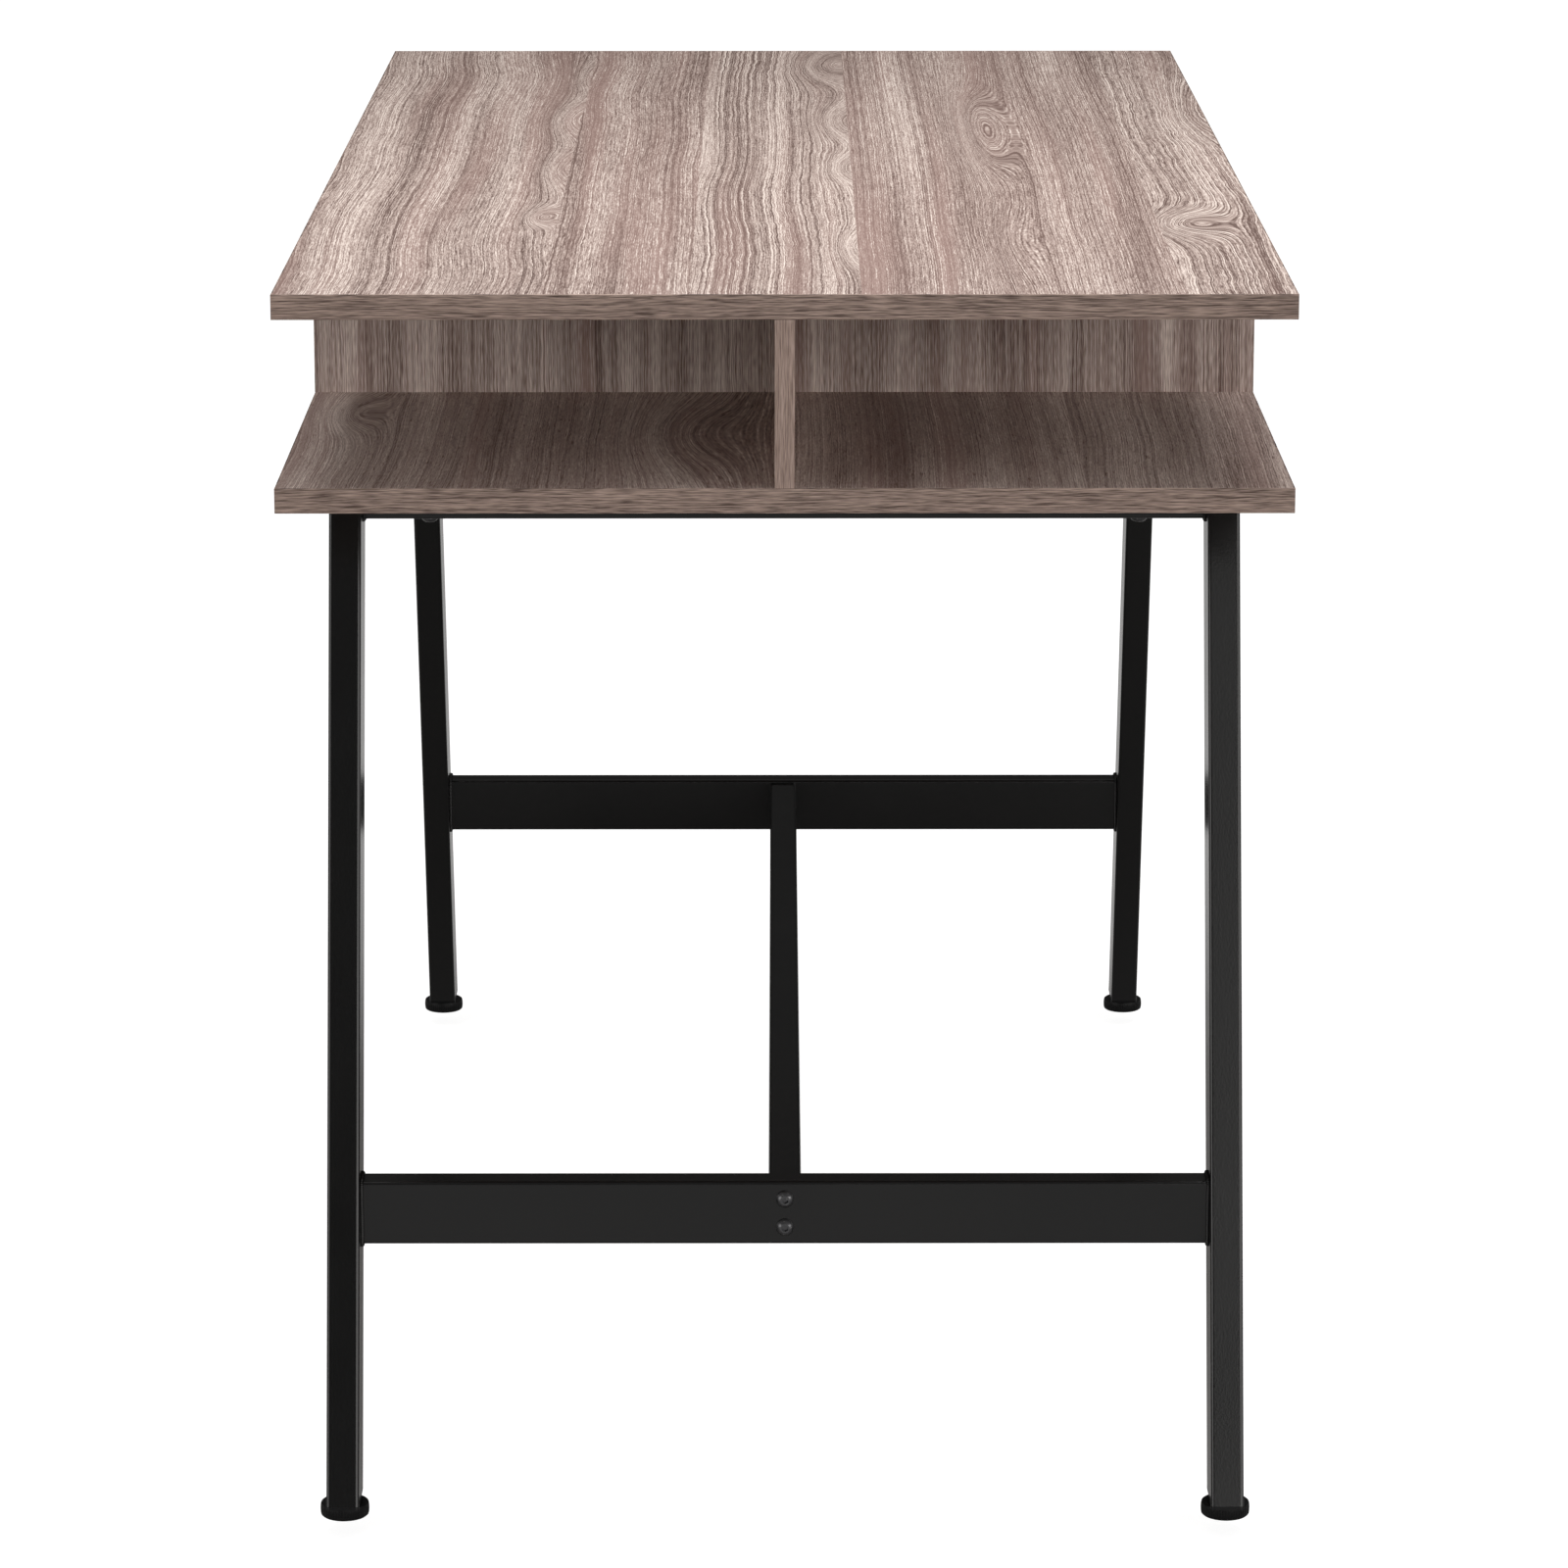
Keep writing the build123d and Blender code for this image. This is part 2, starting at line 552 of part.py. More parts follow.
def leg_plug(side, end):
    """Plastic plug in the bottom of a leg, with a pocket for the nut."""
    x, y = foot_axis(side, end)
    wall = 2 * (TUBE_WALL + FIT)
    bore = RectangleRounded(TUBE_WIDE - wall, TUBE_NARROW - wall, TUBE_CORNER - TUBE_WALL)
    flange = RectangleRounded(TUBE_WIDE, TUBE_NARROW, TUBE_CORNER)
    plug_top = LEG_BOTTOM + PLUG_DEPTH
    plug = leaning(flange, side, end, PLUG_BOTTOM, LEG_BOTTOM)
    plug += leaning(bore, side, end, LEG_BOTTOM, plug_top)
    plug -= rod(STUD_RADIUS + FIT, (x, y, 0), (x, y, STUD_TOP))
    pocket = extrude(RegularPolygon(NUT_ACROSS / 2 + FIT, 6, major_radius=False), 2 * NUT_HEIGHT)
    return plug - Pos(x, y, plug_top - NUT_HEIGHT) * pocket


def plug_nuts():
    """The nuts that the levelling studs turn in."""
    nuts = []
    for side in SIDES.values():
        for end in ENDS.values():
            x, y = foot_axis(side, end)
            blank = extrude(RegularPolygon(NUT_ACROSS / 2, 6, major_radius=False), NUT_HEIGHT)
            nut = blank - rod(STUD_RADIUS + FIT, (0, 0, -OVERSHOOT), (0, 0, NUT_HEIGHT + OVERSHOOT))
            nuts.append(Pos(x, y, LEG_BOTTOM + PLUG_DEPTH - NUT_HEIGHT) * nut)
    return nuts


def stud(side, end):
    """Threaded stud of a levelling foot, drawn at its full thread diameter."""
    x, y = foot_axis(side, end)
    pin = rod(STUD_RADIUS, (x, y, STUD_BOTTOM), (x, y, STUD_TOP))
    return chamfer(pin.edges().filter_by(GeomType.CIRCLE), STUD_RADIUS * PIN_CHAMFER)


def disc(side, end):
    """Round base of a levelling foot, with the hub that stops it against the plug."""
    x, y = foot_axis(side, end)
    base = rod(DISC_RADIUS, (x, y, 0), (x, y, DISC_HEIGHT))
    base = fillet(base.edges().filter_by(GeomType.CIRCLE).sort_by(Axis.Z)[0], DISC_LOWER_ROUNDING)
    base = fillet(base.edges().filter_by(GeomType.CIRCLE).sort_by(Axis.Z)[-1], DISC_UPPER_ROUNDING)
    hub_top = PLUG_BOTTOM - FOOT_GAP
    base += rod(HUB_RADIUS, (x, y, DISC_HEIGHT - OVERSHOOT), (x, y, hub_top))
    socket_floor = STUD_BOTTOM - HOLE_SPARE
    return base - rod(STUD_RADIUS + FIT, (x, y, socket_floor), (x, y, hub_top + OVERSHOOT))


def nodes():
    """Every node of the desk: its name and its solids."""
    made = {
        "top_panel": [top_panel()],
        "top_edge_bands": board_bands(TOP_UNDERSIDE, DESK_HEIGHT),
        "shelf_panel": [shelf_panel()],
        "shelf_edge_bands": board_bands(SHELF_UNDERSIDE, SHELF_TOP),
        "panel_dowels": panel_dowels(),
        "divider_dowels": divider_dowels(),
        "cam_bolts": cam_bolts(),
        "cam_locks": cam_locks(),
        "shelf_screws": shelf_screws(),
        "divider_screws": divider_screws(),
        "shelf_inserts": shelf_inserts(),
        "rail_bolts": rail_bolts(),
        "stretcher": [stretcher()],
        "stretcher_end_plates": stretcher_end_plates(),
        "stretcher_bolts": stretcher_bolts(),
        "plug_nuts": plug_nuts(),
    }
    for name, side in SIDES.items():
        made[f"{name}_cross_panel"] = [cross_panel(side)]
        made[f"{name}_cross_panel_bands"] = cross_panel_bands(side)
        made[f"{name}_divider"] = [divider(side)]
        made[f"{name}_divider_band"] = [divider_band(side)]
        made[f"{name}_top_rail"] = [top_rail(side)]
        made[f"{name}_crossbar"] = [crossbar(side)]
        made[f"{name}_welds"] = frame_welds(side)
        for place, end in ENDS.items():
            made[f"{name}_{place}_leg"] = [leg(side, end)]
            made[f"{name}_{place}_leg_plug"] = [leg_plug(side, end)]
            made[f"{name}_{place}_stud"] = [stud(side, end)]
            made[f"{name}_{place}_disc"] = [disc(side, end)]
    return made


os.makedirs("parts", exist_ok=True)
for node, shapes in nodes().items():
    solids = [solid for shape in shapes for solid in shape.solids()]
    export_step(Compound(children=solids), f"parts/{node}.step")
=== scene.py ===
"""Looks of a computer desk: oak-laminate boards on a black steel frame with levelling feet."""

import json
import logging
import math
from dataclasses import dataclass
from enum import Enum
from functools import lru_cache
from typing import Any

import bmesh
import bpy
from mathutils import Matrix, Vector

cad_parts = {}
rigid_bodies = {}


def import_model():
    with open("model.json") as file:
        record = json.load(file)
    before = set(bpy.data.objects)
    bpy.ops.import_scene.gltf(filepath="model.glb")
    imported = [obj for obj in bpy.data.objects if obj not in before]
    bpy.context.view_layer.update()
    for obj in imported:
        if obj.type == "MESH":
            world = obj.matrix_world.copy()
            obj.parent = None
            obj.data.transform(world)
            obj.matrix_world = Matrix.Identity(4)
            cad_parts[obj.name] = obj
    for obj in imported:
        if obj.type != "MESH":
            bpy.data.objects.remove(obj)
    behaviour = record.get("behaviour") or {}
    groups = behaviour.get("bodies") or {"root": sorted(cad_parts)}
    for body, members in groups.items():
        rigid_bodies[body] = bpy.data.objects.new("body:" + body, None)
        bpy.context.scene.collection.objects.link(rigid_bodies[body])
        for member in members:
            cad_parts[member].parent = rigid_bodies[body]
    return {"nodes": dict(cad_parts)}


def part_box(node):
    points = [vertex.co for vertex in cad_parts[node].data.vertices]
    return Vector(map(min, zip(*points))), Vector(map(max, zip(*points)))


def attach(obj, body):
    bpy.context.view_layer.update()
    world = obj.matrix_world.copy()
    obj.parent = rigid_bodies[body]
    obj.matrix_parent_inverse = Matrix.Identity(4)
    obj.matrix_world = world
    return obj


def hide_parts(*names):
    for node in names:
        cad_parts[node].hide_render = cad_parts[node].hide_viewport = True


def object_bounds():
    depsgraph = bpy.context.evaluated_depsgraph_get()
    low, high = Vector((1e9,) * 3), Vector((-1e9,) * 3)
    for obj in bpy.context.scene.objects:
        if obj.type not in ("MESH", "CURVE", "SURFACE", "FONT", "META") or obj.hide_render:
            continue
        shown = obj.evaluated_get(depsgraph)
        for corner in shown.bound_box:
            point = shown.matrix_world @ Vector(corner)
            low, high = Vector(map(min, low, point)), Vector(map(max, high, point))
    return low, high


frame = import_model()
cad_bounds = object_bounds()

log = logging.getLogger("desk")

MM = 0.001
WELD_DISTANCE = 0.02 * MM  # closer vertices of a turned shape are merged
SIDES = ("right", "left")
ENDS = {"front": -1, "rear": 1}  # which way along Y
RGB = tuple[float, float, float]
Profile = list[tuple[float, float]]  # radius and height of each corner


# ---- node building


class Field:
    """A number that changes over a surface: Python's operators on it add Math nodes."""

    def __init__(self, recipe: "Recipe", socket: bpy.types.NodeSocket) -> None:
        """Wraps an output socket.

        Args:
            recipe: the node builder whose tree holds the socket.
            socket: the output that carries the number.
        """
        self.recipe = recipe
        self.socket = socket

    def math(self, operation: str, *others: "Operand") -> "Field":
        """Adds one Math node with this field as its first value.

        Args:
            operation: Blender's name of the operation.
            others: the second and third values, if the operation takes them.

        Returns:
            The node's result.
        """
        values = dict(enumerate((self, *others)))
        return self.recipe.field("ShaderNodeMath", {"operation": operation}, values)

    def flipped(self, operation: str, first: float) -> "Field":
        """Adds one Math node with this field as its second value.

        Args:
            operation: Blender's name of the operation.
            first: the number on the left of the operator.

        Returns:
            The node's result.
        """
        return self.recipe.field("ShaderNodeMath", {"operation": operation}, {0: first, 1: self})

    def __add__(self, other: "Operand") -> "Field":
        """Sum."""
        return self.math("ADD", other)

    def __radd__(self, other: float) -> "Field":
        """Sum with a number on the left."""
        return self.flipped("ADD", other)

    def __sub__(self, other: "Operand") -> "Field":
        """Difference."""
        return self.math("SUBTRACT", other)

    def __rsub__(self, other: float) -> "Field":
        """Difference with a number on the left."""
        return self.flipped("SUBTRACT", other)

    def __mul__(self, other: "Operand") -> "Field":
        """Product."""
        return self.math("MULTIPLY", other)

    def __rmul__(self, other: float) -> "Field":
        """Product with a number on the left."""
        return self.flipped("MULTIPLY", other)

    def __truediv__(self, other: "Operand") -> "Field":
        """Quotient."""
        return self.math("DIVIDE", other)

    def __gt__(self, other: "Operand") -> "Field":
        """1 where this is above the other, else 0."""
        return self.math("GREATER_THAN", other)

    def __abs__(self) -> "Field":
        """Size without its sign."""
        return self.math("ABSOLUTE")

    def smooth(self, low: float, high: float) -> "Field":
        """Smooth step from 0 at low to 1 at high.

        Args:
            low: where the step starts.
            high: where the step is complete.

        Returns:
            The stepped field.
        """
        settings = {"interpolation_type": "SMOOTHSTEP"}
        values = {"Value": self, "From Min": low, "From Max": high}
        return self.recipe.field("ShaderNodeMapRange", settings, values)

    def dip(self, low: float, high: float) -> "Field":
        """Smooth step from 1 at low to 0 at high."""
        return 1.0 - self.smooth(low, high)


Operand = Field | float


class Recipe:
    """Adds nodes to one shader, world or geometry tree."""

    def __init__(self, tree: bpy.types.NodeTree) -> None:
        """Keeps the tree that the nodes go to.

        Args:
            tree: the tree to fill.
        """
        self.tree = tree

    def node(self, kind: str, settings: dict | None = None, sockets: dict | None = None) -> Any:
        """Adds one node.

        Args:
            kind: the node's type name.
            settings: its own settings, set before the sockets; "stops" fills a colour ramp.
            sockets: value, field or output socket for each input name or number.

        Returns:
            The node.
        """
        made = self.tree.nodes.new(kind)
        for name, value in (settings or {}).items():
            if name == "stops":
                self.fill_ramp(made.color_ramp, value)
            else:
                setattr(made, name, value)
        for key, value in (sockets or {}).items():
            self.feed(made.inputs[key], value)
        return made

    def feed(self, socket: bpy.types.NodeSocket, value: Any) -> None:
        """Links an input to a field or an output, or sets its own value.

        Args:
            socket: the input.
            value: a field, an output socket or a plain value.
        """
        if isinstance(value, Field):
            value = value.socket
        if isinstance(value, bpy.types.NodeSocket):
            self.tree.links.new(value, socket)
        else:
            socket.default_value = value

    def field(self, kind: str, settings: dict, sockets: dict, output: int | str = 0) -> Field:
        """Adds one node and wraps one of its outputs.

        Args:
            kind: the node's type name.
            settings: its own settings.
            sockets: its input values.
            output: the output's name or number.

        Returns:
            The output as a field.
        """
        return Field(self, self.node(kind, settings, sockets).outputs[output])

    def result(self, kind: str, sockets: dict) -> bpy.types.NodeSocket:
        """The first output of a new shader node with these inputs."""
        return self.node(f"ShaderNode{kind}", None, sockets).outputs[0]

    @staticmethod
    def fill_ramp(ramp: bpy.types.ColorRamp, stops: list[tuple[float, RGB]]) -> None:
        """Gives a colour ramp its stops.

        Args:
            ramp: the ramp, which has two stops to start with.
            stops: position and colour of each stop, in order.
        """
        while len(ramp.elements) < len(stops):
            ramp.elements.new(1.0)
        for element, (position, colour) in zip(ramp.elements, stops):
            element.position = position
            element.color = (*colour, 1.0)

    def place(self, kind: str = "Object") -> tuple[Field, Field, Field]:
        """Where the shaded point is, on the object or round the room.

        Args:
            kind: the texture coordinate's name.

        Returns:
            The coordinate's x, y and z.
        """
        vector = self.node("ShaderNodeTexCoord").outputs[kind]
        parts = self.node("ShaderNodeSeparateXYZ", None, {0: vector})
        return tuple(Field(self, parts.outputs[i]) for i in range(3))

    def point(self, x: Operand, y: Operand, z: Operand = 0.0) -> bpy.types.NodeSocket:
        """A vector from three numbers."""
        return self.result("CombineXYZ", {0: x, 1: y, 2: z})

    def noise(self, x: Operand, y: Operand, z: Operand = 0.0, detail: float = 2.0) -> Field:
        """Smooth noise from 0 to 1, one lump to a unit of its coordinates.

        Args:
            x: first coordinate.
            y: second coordinate.
            z: third coordinate.
            detail: how many finer layers are added.

        Returns:
            The noise.
        """
        values = {"Vector": self.point(x, y, z), "Scale": 1.0, "Detail": detail}
        return self.field("ShaderNodeTexNoise", {"noise_dimensions": "3D"}, values)

    def specks(self, level: float, upright: float, detail: float) -> Field:
        """Noise on the object, with so many lumps to the metre level and upright."""
        x, y, z = self.place()
        return self.noise(x * level, y * level, z * upright, detail)

    def lines(self, across: Field, pitch: float, detail: float = 0.0) -> Field:
        """Irregular lines at right angles to one coordinate.

        Args:
            across: the coordinate, in metres.
            pitch: the usual distance between lines, in metres.
            detail: how many finer layers are added.

        Returns:
            Noise from 0 to 1.
        """
        values = {"W": across, "Scale": 2.0 / pitch, "Detail": detail}
        return self.field("ShaderNodeTexNoise", {"noise_dimensions": "1D"}, values)

    def blend(self, share: Operand, first: Any, second: Any) -> bpy.types.NodeSocket:
        """Mixes two colours.

        Args:
            share: how much of the second, 0 to 1.
            first: a colour or an output socket.
            second: a colour or an output socket.

        Returns:
            The mixed colour.
        """
        colours = [(*c, 1.0) if isinstance(c, tuple) else c for c in (first, second)]
        sockets = dict(zip((0, 6, 7), (share, *colours)))
        settings = {"data_type": "RGBA", "clamp_factor": True}
        return self.node("ShaderNodeMix", settings, sockets).outputs[2]

    def ramp(self, share: Field, stops: list[tuple[float, RGB]]) -> bpy.types.NodeSocket:
        """Turns a number into a colour.

        Args:
            share: the number, 0 to 1.
            stops: position and colour of each stop, in order.

        Returns:
            The colour.
        """
        return self.node("ShaderNodeValToRGB", {"stops": stops}, {0: share}).outputs[0]

    def bump(self, height: Field, depth: float, strength: float = 1.0) -> bpy.types.NodeSocket:
        """Turns a height field into a surface normal.

        Args:
            height: 0 to 1.
            depth: what a height of 1 stands for, in metres.
            strength: share of the effect.

        Returns:
            The normal.
        """
        return self.result("Bump", {"Height": height, "Distance": depth, "Strength": strength})


# ---- finishes


class Grain(Enum):
    """Which way the grain runs on a board."""

    ALONG_X = (0, 1, 2)
    UPRIGHT_ACROSS_Y = (2, 1, 0)
    UPRIGHT_ACROSS_X = (2, 0, 1)

    def order(self, place: tuple[Field, Field, Field]) -> tuple[Field, Field, Field]:
        """Sorts coordinates into along the grain, across it, and through the board."""
        return tuple(place[i] for i in self.value)


@dataclass(frozen=True)
class Finish:
    """A surface finish: what a material slot looks like.

    Attributes:
        name: the material's name.
        slot: the material slot in the record; not used.
    """

    name: str
    slot: str

    def dress(self, mix: Recipe) -> dict[str, Any]:
        """Adds the finish's nodes.

        Args:
            mix: builder of the material's tree.

        Returns:
            Value or socket for each input of the shader.
        """
        raise NotImplementedError


@lru_cache(maxsize=None)
def material_of(finish: Finish) -> bpy.types.Material:
    """Makes a finish's material once.

    Args:
        finish: the finish.

    Returns:
        Its material.
    """
    material = bpy.data.materials.new(finish.name)
    material.use_nodes = True
    material.node_tree.nodes.clear()
    mix = Recipe(material.node_tree)
    surface = mix.result("BsdfPrincipled", finish.dress(mix))
    mix.node("ShaderNodeOutputMaterial", None, {"Surface": surface})
    return material


@dataclass(frozen=True)
class Knot:
    """A place where the grain bulges into loops.

    Attributes:
        along: its place along the grain, in metres.
        across: its place across the grain, in metres.
        long: its half length, in metres.
        wide: its half width, in metres.
        lift: how far it pushes the lines aside, in metres.
    """

    along: float
    across: float
    long: float
    wide: float
    lift: float

    def bulge(self, along: Field, across: Field) -> Field:
        """How far it pushes the lines at a point.

        Args:
            along: the point along the grain.
            across: the point across the grain.

        Returns:
            The push in metres.
        """
        far = (along - self.along) / self.long
        aside = (across - self.across) / self.wide
        return (0.0 - (far * far + aside * aside)).math("EXPONENT") * self.lift


@dataclass(frozen=True)
class Plank:
    """One printed plank of the laminate's pattern.

    Attributes:
        edge: where it begins, across the grain, in metres.
        tone: how much lighter than the others it is.
        blush: how much redder than the others it is.
        wander: sideways sweep of its lines, in metres.
        figure: strength of its pale wavy ridges, which also carry a painted highlight with painted
            shade beside it.
        knots: where its grain bulges.
    """

    edge: float
    tone: float = 0.0
    blush: float = 0.0
    wander: float = 0.010
    figure: float = 0.30
    knots: tuple[Knot, ...] = ()


STRAIGHT = (Plank(-9.0),)
DESKTOP_PLANKS = (
    Plank(
        -9.0,
        wander=0.030,
        figure=0.20,
        knots=(
            Knot(0.286, -0.150, 0.036, 0.010, 0.022),
            Knot(0.060, -0.143, 0.080, 0.016, 0.026),
            Knot(-0.190, -0.143, 0.100, 0.018, 0.030),
            Knot(-0.430, -0.143, 0.080, 0.015, 0.024),
        ),
    ),
    Plank(-0.143, tone=-0.02, blush=0.25, wander=0.026, figure=0.25),
    Plank(
        -0.056,
        tone=0.03,
        wander=0.026,
        figure=0.85,
        knots=(
            Knot(-0.510, 0.034, 0.095, 0.024, 0.050),
            Knot(-0.180, 0.047, 0.080, 0.020, 0.034),
            Knot(0.060, 0.050, 0.060, 0.018, 0.026),
            Knot(0.420, 0.045, 0.070, 0.016, 0.022),
        ),
    ),
    Plank(
        0.045,
        tone=-0.03,
        blush=0.30,
        wander=0.010,
        figure=0.10,
        knots=(Knot(-0.130, 0.137, 0.190, 0.016, 0.038), Knot(0.400, 0.140, 0.150, 0.016, 0.012)),
    ),
    Plank(
        0.235,
        wander=0.026,
        figure=0.75,
        knots=(Knot(0.318, 0.246, 0.060, 0.026, 0.036), Knot(-0.250, 0.300, 0.140, 0.020, 0.024)),
    ),
)
SHELF_PLANKS = (
    Plank(-9.0, wander=0.020, figure=0.30, knots=(Knot(0.345, -0.270, 0.070, 0.018, 0.022),)),
    Plank(-0.195, tone=-0.03, blush=0.25, wander=0.020, figure=0.20),
    Plank(
        -0.135,
        tone=0.01,
        blush=0.10,
        wander=0.014,
        figure=0.30,
        knots=(
            Knot(0.420, -0.060, 0.130, 0.036, 0.030),
            Knot(-0.380, -0.060, 0.130, 0.030, 0.034),
        ),
    ),
    Plank(0.0, tone=0.01, blush=0.15, wander=0.010, figure=0.12),
    Plank(0.178, wander=0.022, figure=0.25, knots=(Knot(-0.200, 0.230, 0.150, 0.020, 0.026),)),
)


@dataclass(frozen=True)
class OakLaminate(Finish):
    """Embossed oak print on a board's face.

    Attributes:
        grain: which way it runs.
        planks: the printed planks, in order across the grain.
        colours: the pores, the body and the pale ridges with their painted highlight, from dark to
            light.
        blushed: the body's colour in its redder streaks.
        streak: strength of the broad tonal streaks.
        contrast: strength of the fine lines.
        spread: width of the lines, as a share of the top's.
    """

    grain: Grain = Grain.ALONG_X
    planks: tuple[Plank, ...] = DESKTOP_PLANKS
    colours: tuple[RGB, RGB, RGB] = (
        (0.125, 0.078, 0.065),
        (0.412, 0.318, 0.281),
        (0.790, 0.680, 0.612),
    )
    blushed: RGB = (0.330, 0.215, 0.188)
    streak: float = 1.05
    contrast: float = 1.5
    spread: float = 1.0

    def by_plank(self, steps: list[Field], name: str) -> Operand:
        """One of the planks' numbers, picked by where the point lies.

        Args:
            steps: for each plank after the first, 1 from its edge on.
            name: the number's name.

        Returns:
            The number, which jumps from plank to plank.
        """
        numbers = [getattr(plank, name) for plank in self.planks]
        picked: Operand = numbers[0]
        for step, before, after in zip(steps, numbers, numbers[1:]):
            picked = step * (after - before) + picked
        return picked

    def bulges(self, steps: list[Field], along: Field, across: Field) -> Operand:
        """The push of the knots, each within its own plank.

        Args:
            steps: for each plank after the first, 1 from its edge on.
            along: the point along the grain.
            across: the point across the grain, swept and rippled.

        Returns:
            The push in metres.
        """
        total: Operand = 0.0
        for index, plank in enumerate(self.planks):
            if not plank.knots:
                continue
            own = sum(knot.bulge(along, across) for knot in plank.knots)
            if index > 0:
                own = own * steps[index - 1]
            if index < len(steps):
                own = own * (1.0 - steps[index])
            total = own + total
        return total

    def dress(self, mix: Recipe) -> dict[str, Any]:
        """Adds ring lines with a painted highlight on each ridge and painted shade beside it,
        hair-fine grain, pores and broad streaks.

        Args:
            mix: builder of the material's tree.

        Returns:
            Value or socket for each input of the shader.
        """
        along, across, through = self.grain.order(mix.place())
        steps = [across > plank.edge for plank in self.planks[1:]]
        number: Operand = 0.0
        for step in steps:
            number = step + number
        seed = through * 3.0 + number * 7.3
        figure = self.by_plank(steps, "figure")
        sweep = mix.noise(along * 2.6, across * 3.0, seed, 1.0) - 0.5
        patch = mix.noise(along * 3.2, across * 12.0, seed + 17.0, 1.0).smooth(0.34, 0.60) * figure
        ripple = mix.noise(along * 30.0, across * 24.0, seed, 1.0) - 0.5
        shiver = mix.noise(along * 95.0, across * 130.0, seed, 0.0) - 0.5
        bent = across + sweep * self.by_plank(steps, "wander") + shiver * 0.0007
        bent = bent + ripple * (patch * 0.0036 + 0.0006)
        ring = (bent + self.bulges(steps, along, bent)) * (1.0 / self.spread) + number * 0.613
        late = abs(mix.lines(ring, 0.0100, 1.0) - 0.5).dip(0.0, 0.045)
        year = mix.lines(ring, 0.0034)
        # ridge: the same ring lines shifted by 0.7 mm, used to paint shade just beside each crest
        ridge = mix.lines(ring + 0.0007, 0.0034)
        fine = mix.lines(ring, 0.0015) - 0.5
        hair = mix.noise(along * 24.0, ring * 1350.0, through * 9.0, 1.0) - 0.5
        fleck = mix.noise(along * 140.0, ring * 1500.0, seed + 9.0, 0.0) - 0.5
        broad = mix.noise(along * 1.1, ring * 34.0, seed, 2.0) - 0.5
        warm = mix.noise(along * 0.9, ring * 36.0, seed + 50.0, 1.0).smooth(0.45, 0.75)
        pore = mix.noise(along * 55.0, ring * 760.0, seed + 4.0, 0.0).smooth(0.70, 0.80)
        # crest: pale print lines that also carry a painted highlight on the embossed ridges; the
        # shifted copy paints shade beside each one
        crest = year.smooth(0.54, 0.68) * (patch * 0.9 + 0.10)
        painted_shade_beside_crest = ridge.dip(0.32, 0.46) * (patch * 0.8 + 0.20)
        lines = crest * 0.24 - painted_shade_beside_crest * 0.22 - late * 0.17 + fine * 0.50
        lines = lines + hair * 0.78 + fleck * 0.56 - pore * 0.22
        share = lines * self.contrast + broad * self.streak + self.by_plank(steps, "tone") + 0.50
        relief = crest * 0.6 - painted_shade_beside_crest * 0.4 + fine * 0.4 + hair * 0.4 + fleck * 0.3 - pore * 0.5
        body = mix.ramp(share, list(zip((0.0, 0.5, 1.0), self.colours)))
        blush = (warm * 0.50 + self.by_plank(steps, "blush") * 0.45) * share.dip(0.45, 0.95)
        return {
            "Base Color": mix.blend(blush, body, self.blushed),
            "Roughness": 0.56 - crest * 0.07 + pore * 0.14,
            "Specular IOR Level": 0.30,
            "Normal": mix.bump(relief, 0.16 * MM, 0.8),
        }


@dataclass(frozen=True)
class OakEdging(Finish):
    """Straight-grained edging strip.

    Attributes:
        grain: which way it runs, where the strips don't go round a board.
        half_length: half the length of the board that the strips go round, in metres, or 0.
        thick: how thick a strip is, in metres.
        dark: colour of the pores.
        light: colour of the wood between them.
    """

    grain: Grain = Grain.ALONG_X
    half_length: float = 0.0
    thick: float = 1.5 * MM
    dark: RGB = (0.075, 0.048, 0.039)
    light: RGB = (0.400, 0.296, 0.248)

    def dress(self, mix: Recipe) -> dict[str, Any]:
        """Adds long fine grain that follows each strip.

        Args:
            mix: builder of the material's tree.

        Returns:
            Value or socket for each input of the shader.
        """
        x, y, z = mix.place()
        along, across, through = self.grain.order((x, y, z))
        if self.half_length:
            on_end = abs(x) > self.half_length - self.thick
            along = on_end * (y - x) + x
            across = z + on_end * 0.35
            through = x + y - along
        sweep = mix.noise(along * 6.0, across * 22.0, through * 5.0, 1.0) - 0.5
        wobble = mix.noise(along * 40.0, across * 90.0, through * 5.0, 1.0) - 0.5
        bent = across + sweep * 0.0060 + wobble * 0.0008
        streaks = mix.noise(along * 14.0, bent * 760.0, through * 20.0, 2.0) - 0.5
        grain = mix.noise(along * 80.0, bent * 1900.0, through * 30.0, 2.0) - 0.5
        slow = mix.noise(along * 5.0, bent * 60.0, through * 9.0, 1.0) - 0.5
        pore = mix.noise(along * 42.0, bent * 1300.0, through * 50.0, 0.0).smooth(0.60, 0.70)
        share = streaks * 1.45 + grain * 2.40 + slow * 0.5 - pore * 0.35 + 0.55
        relief = grain * 0.5 + streaks * 0.5 - pore * 0.6
        return {
            "Base Color": mix.blend(share, self.dark, self.light),
            "Roughness": 0.52 + pore * 0.15,
            "Specular IOR Level": 0.30,
            "Normal": mix.bump(relief, 0.08 * MM, 0.7),
        }


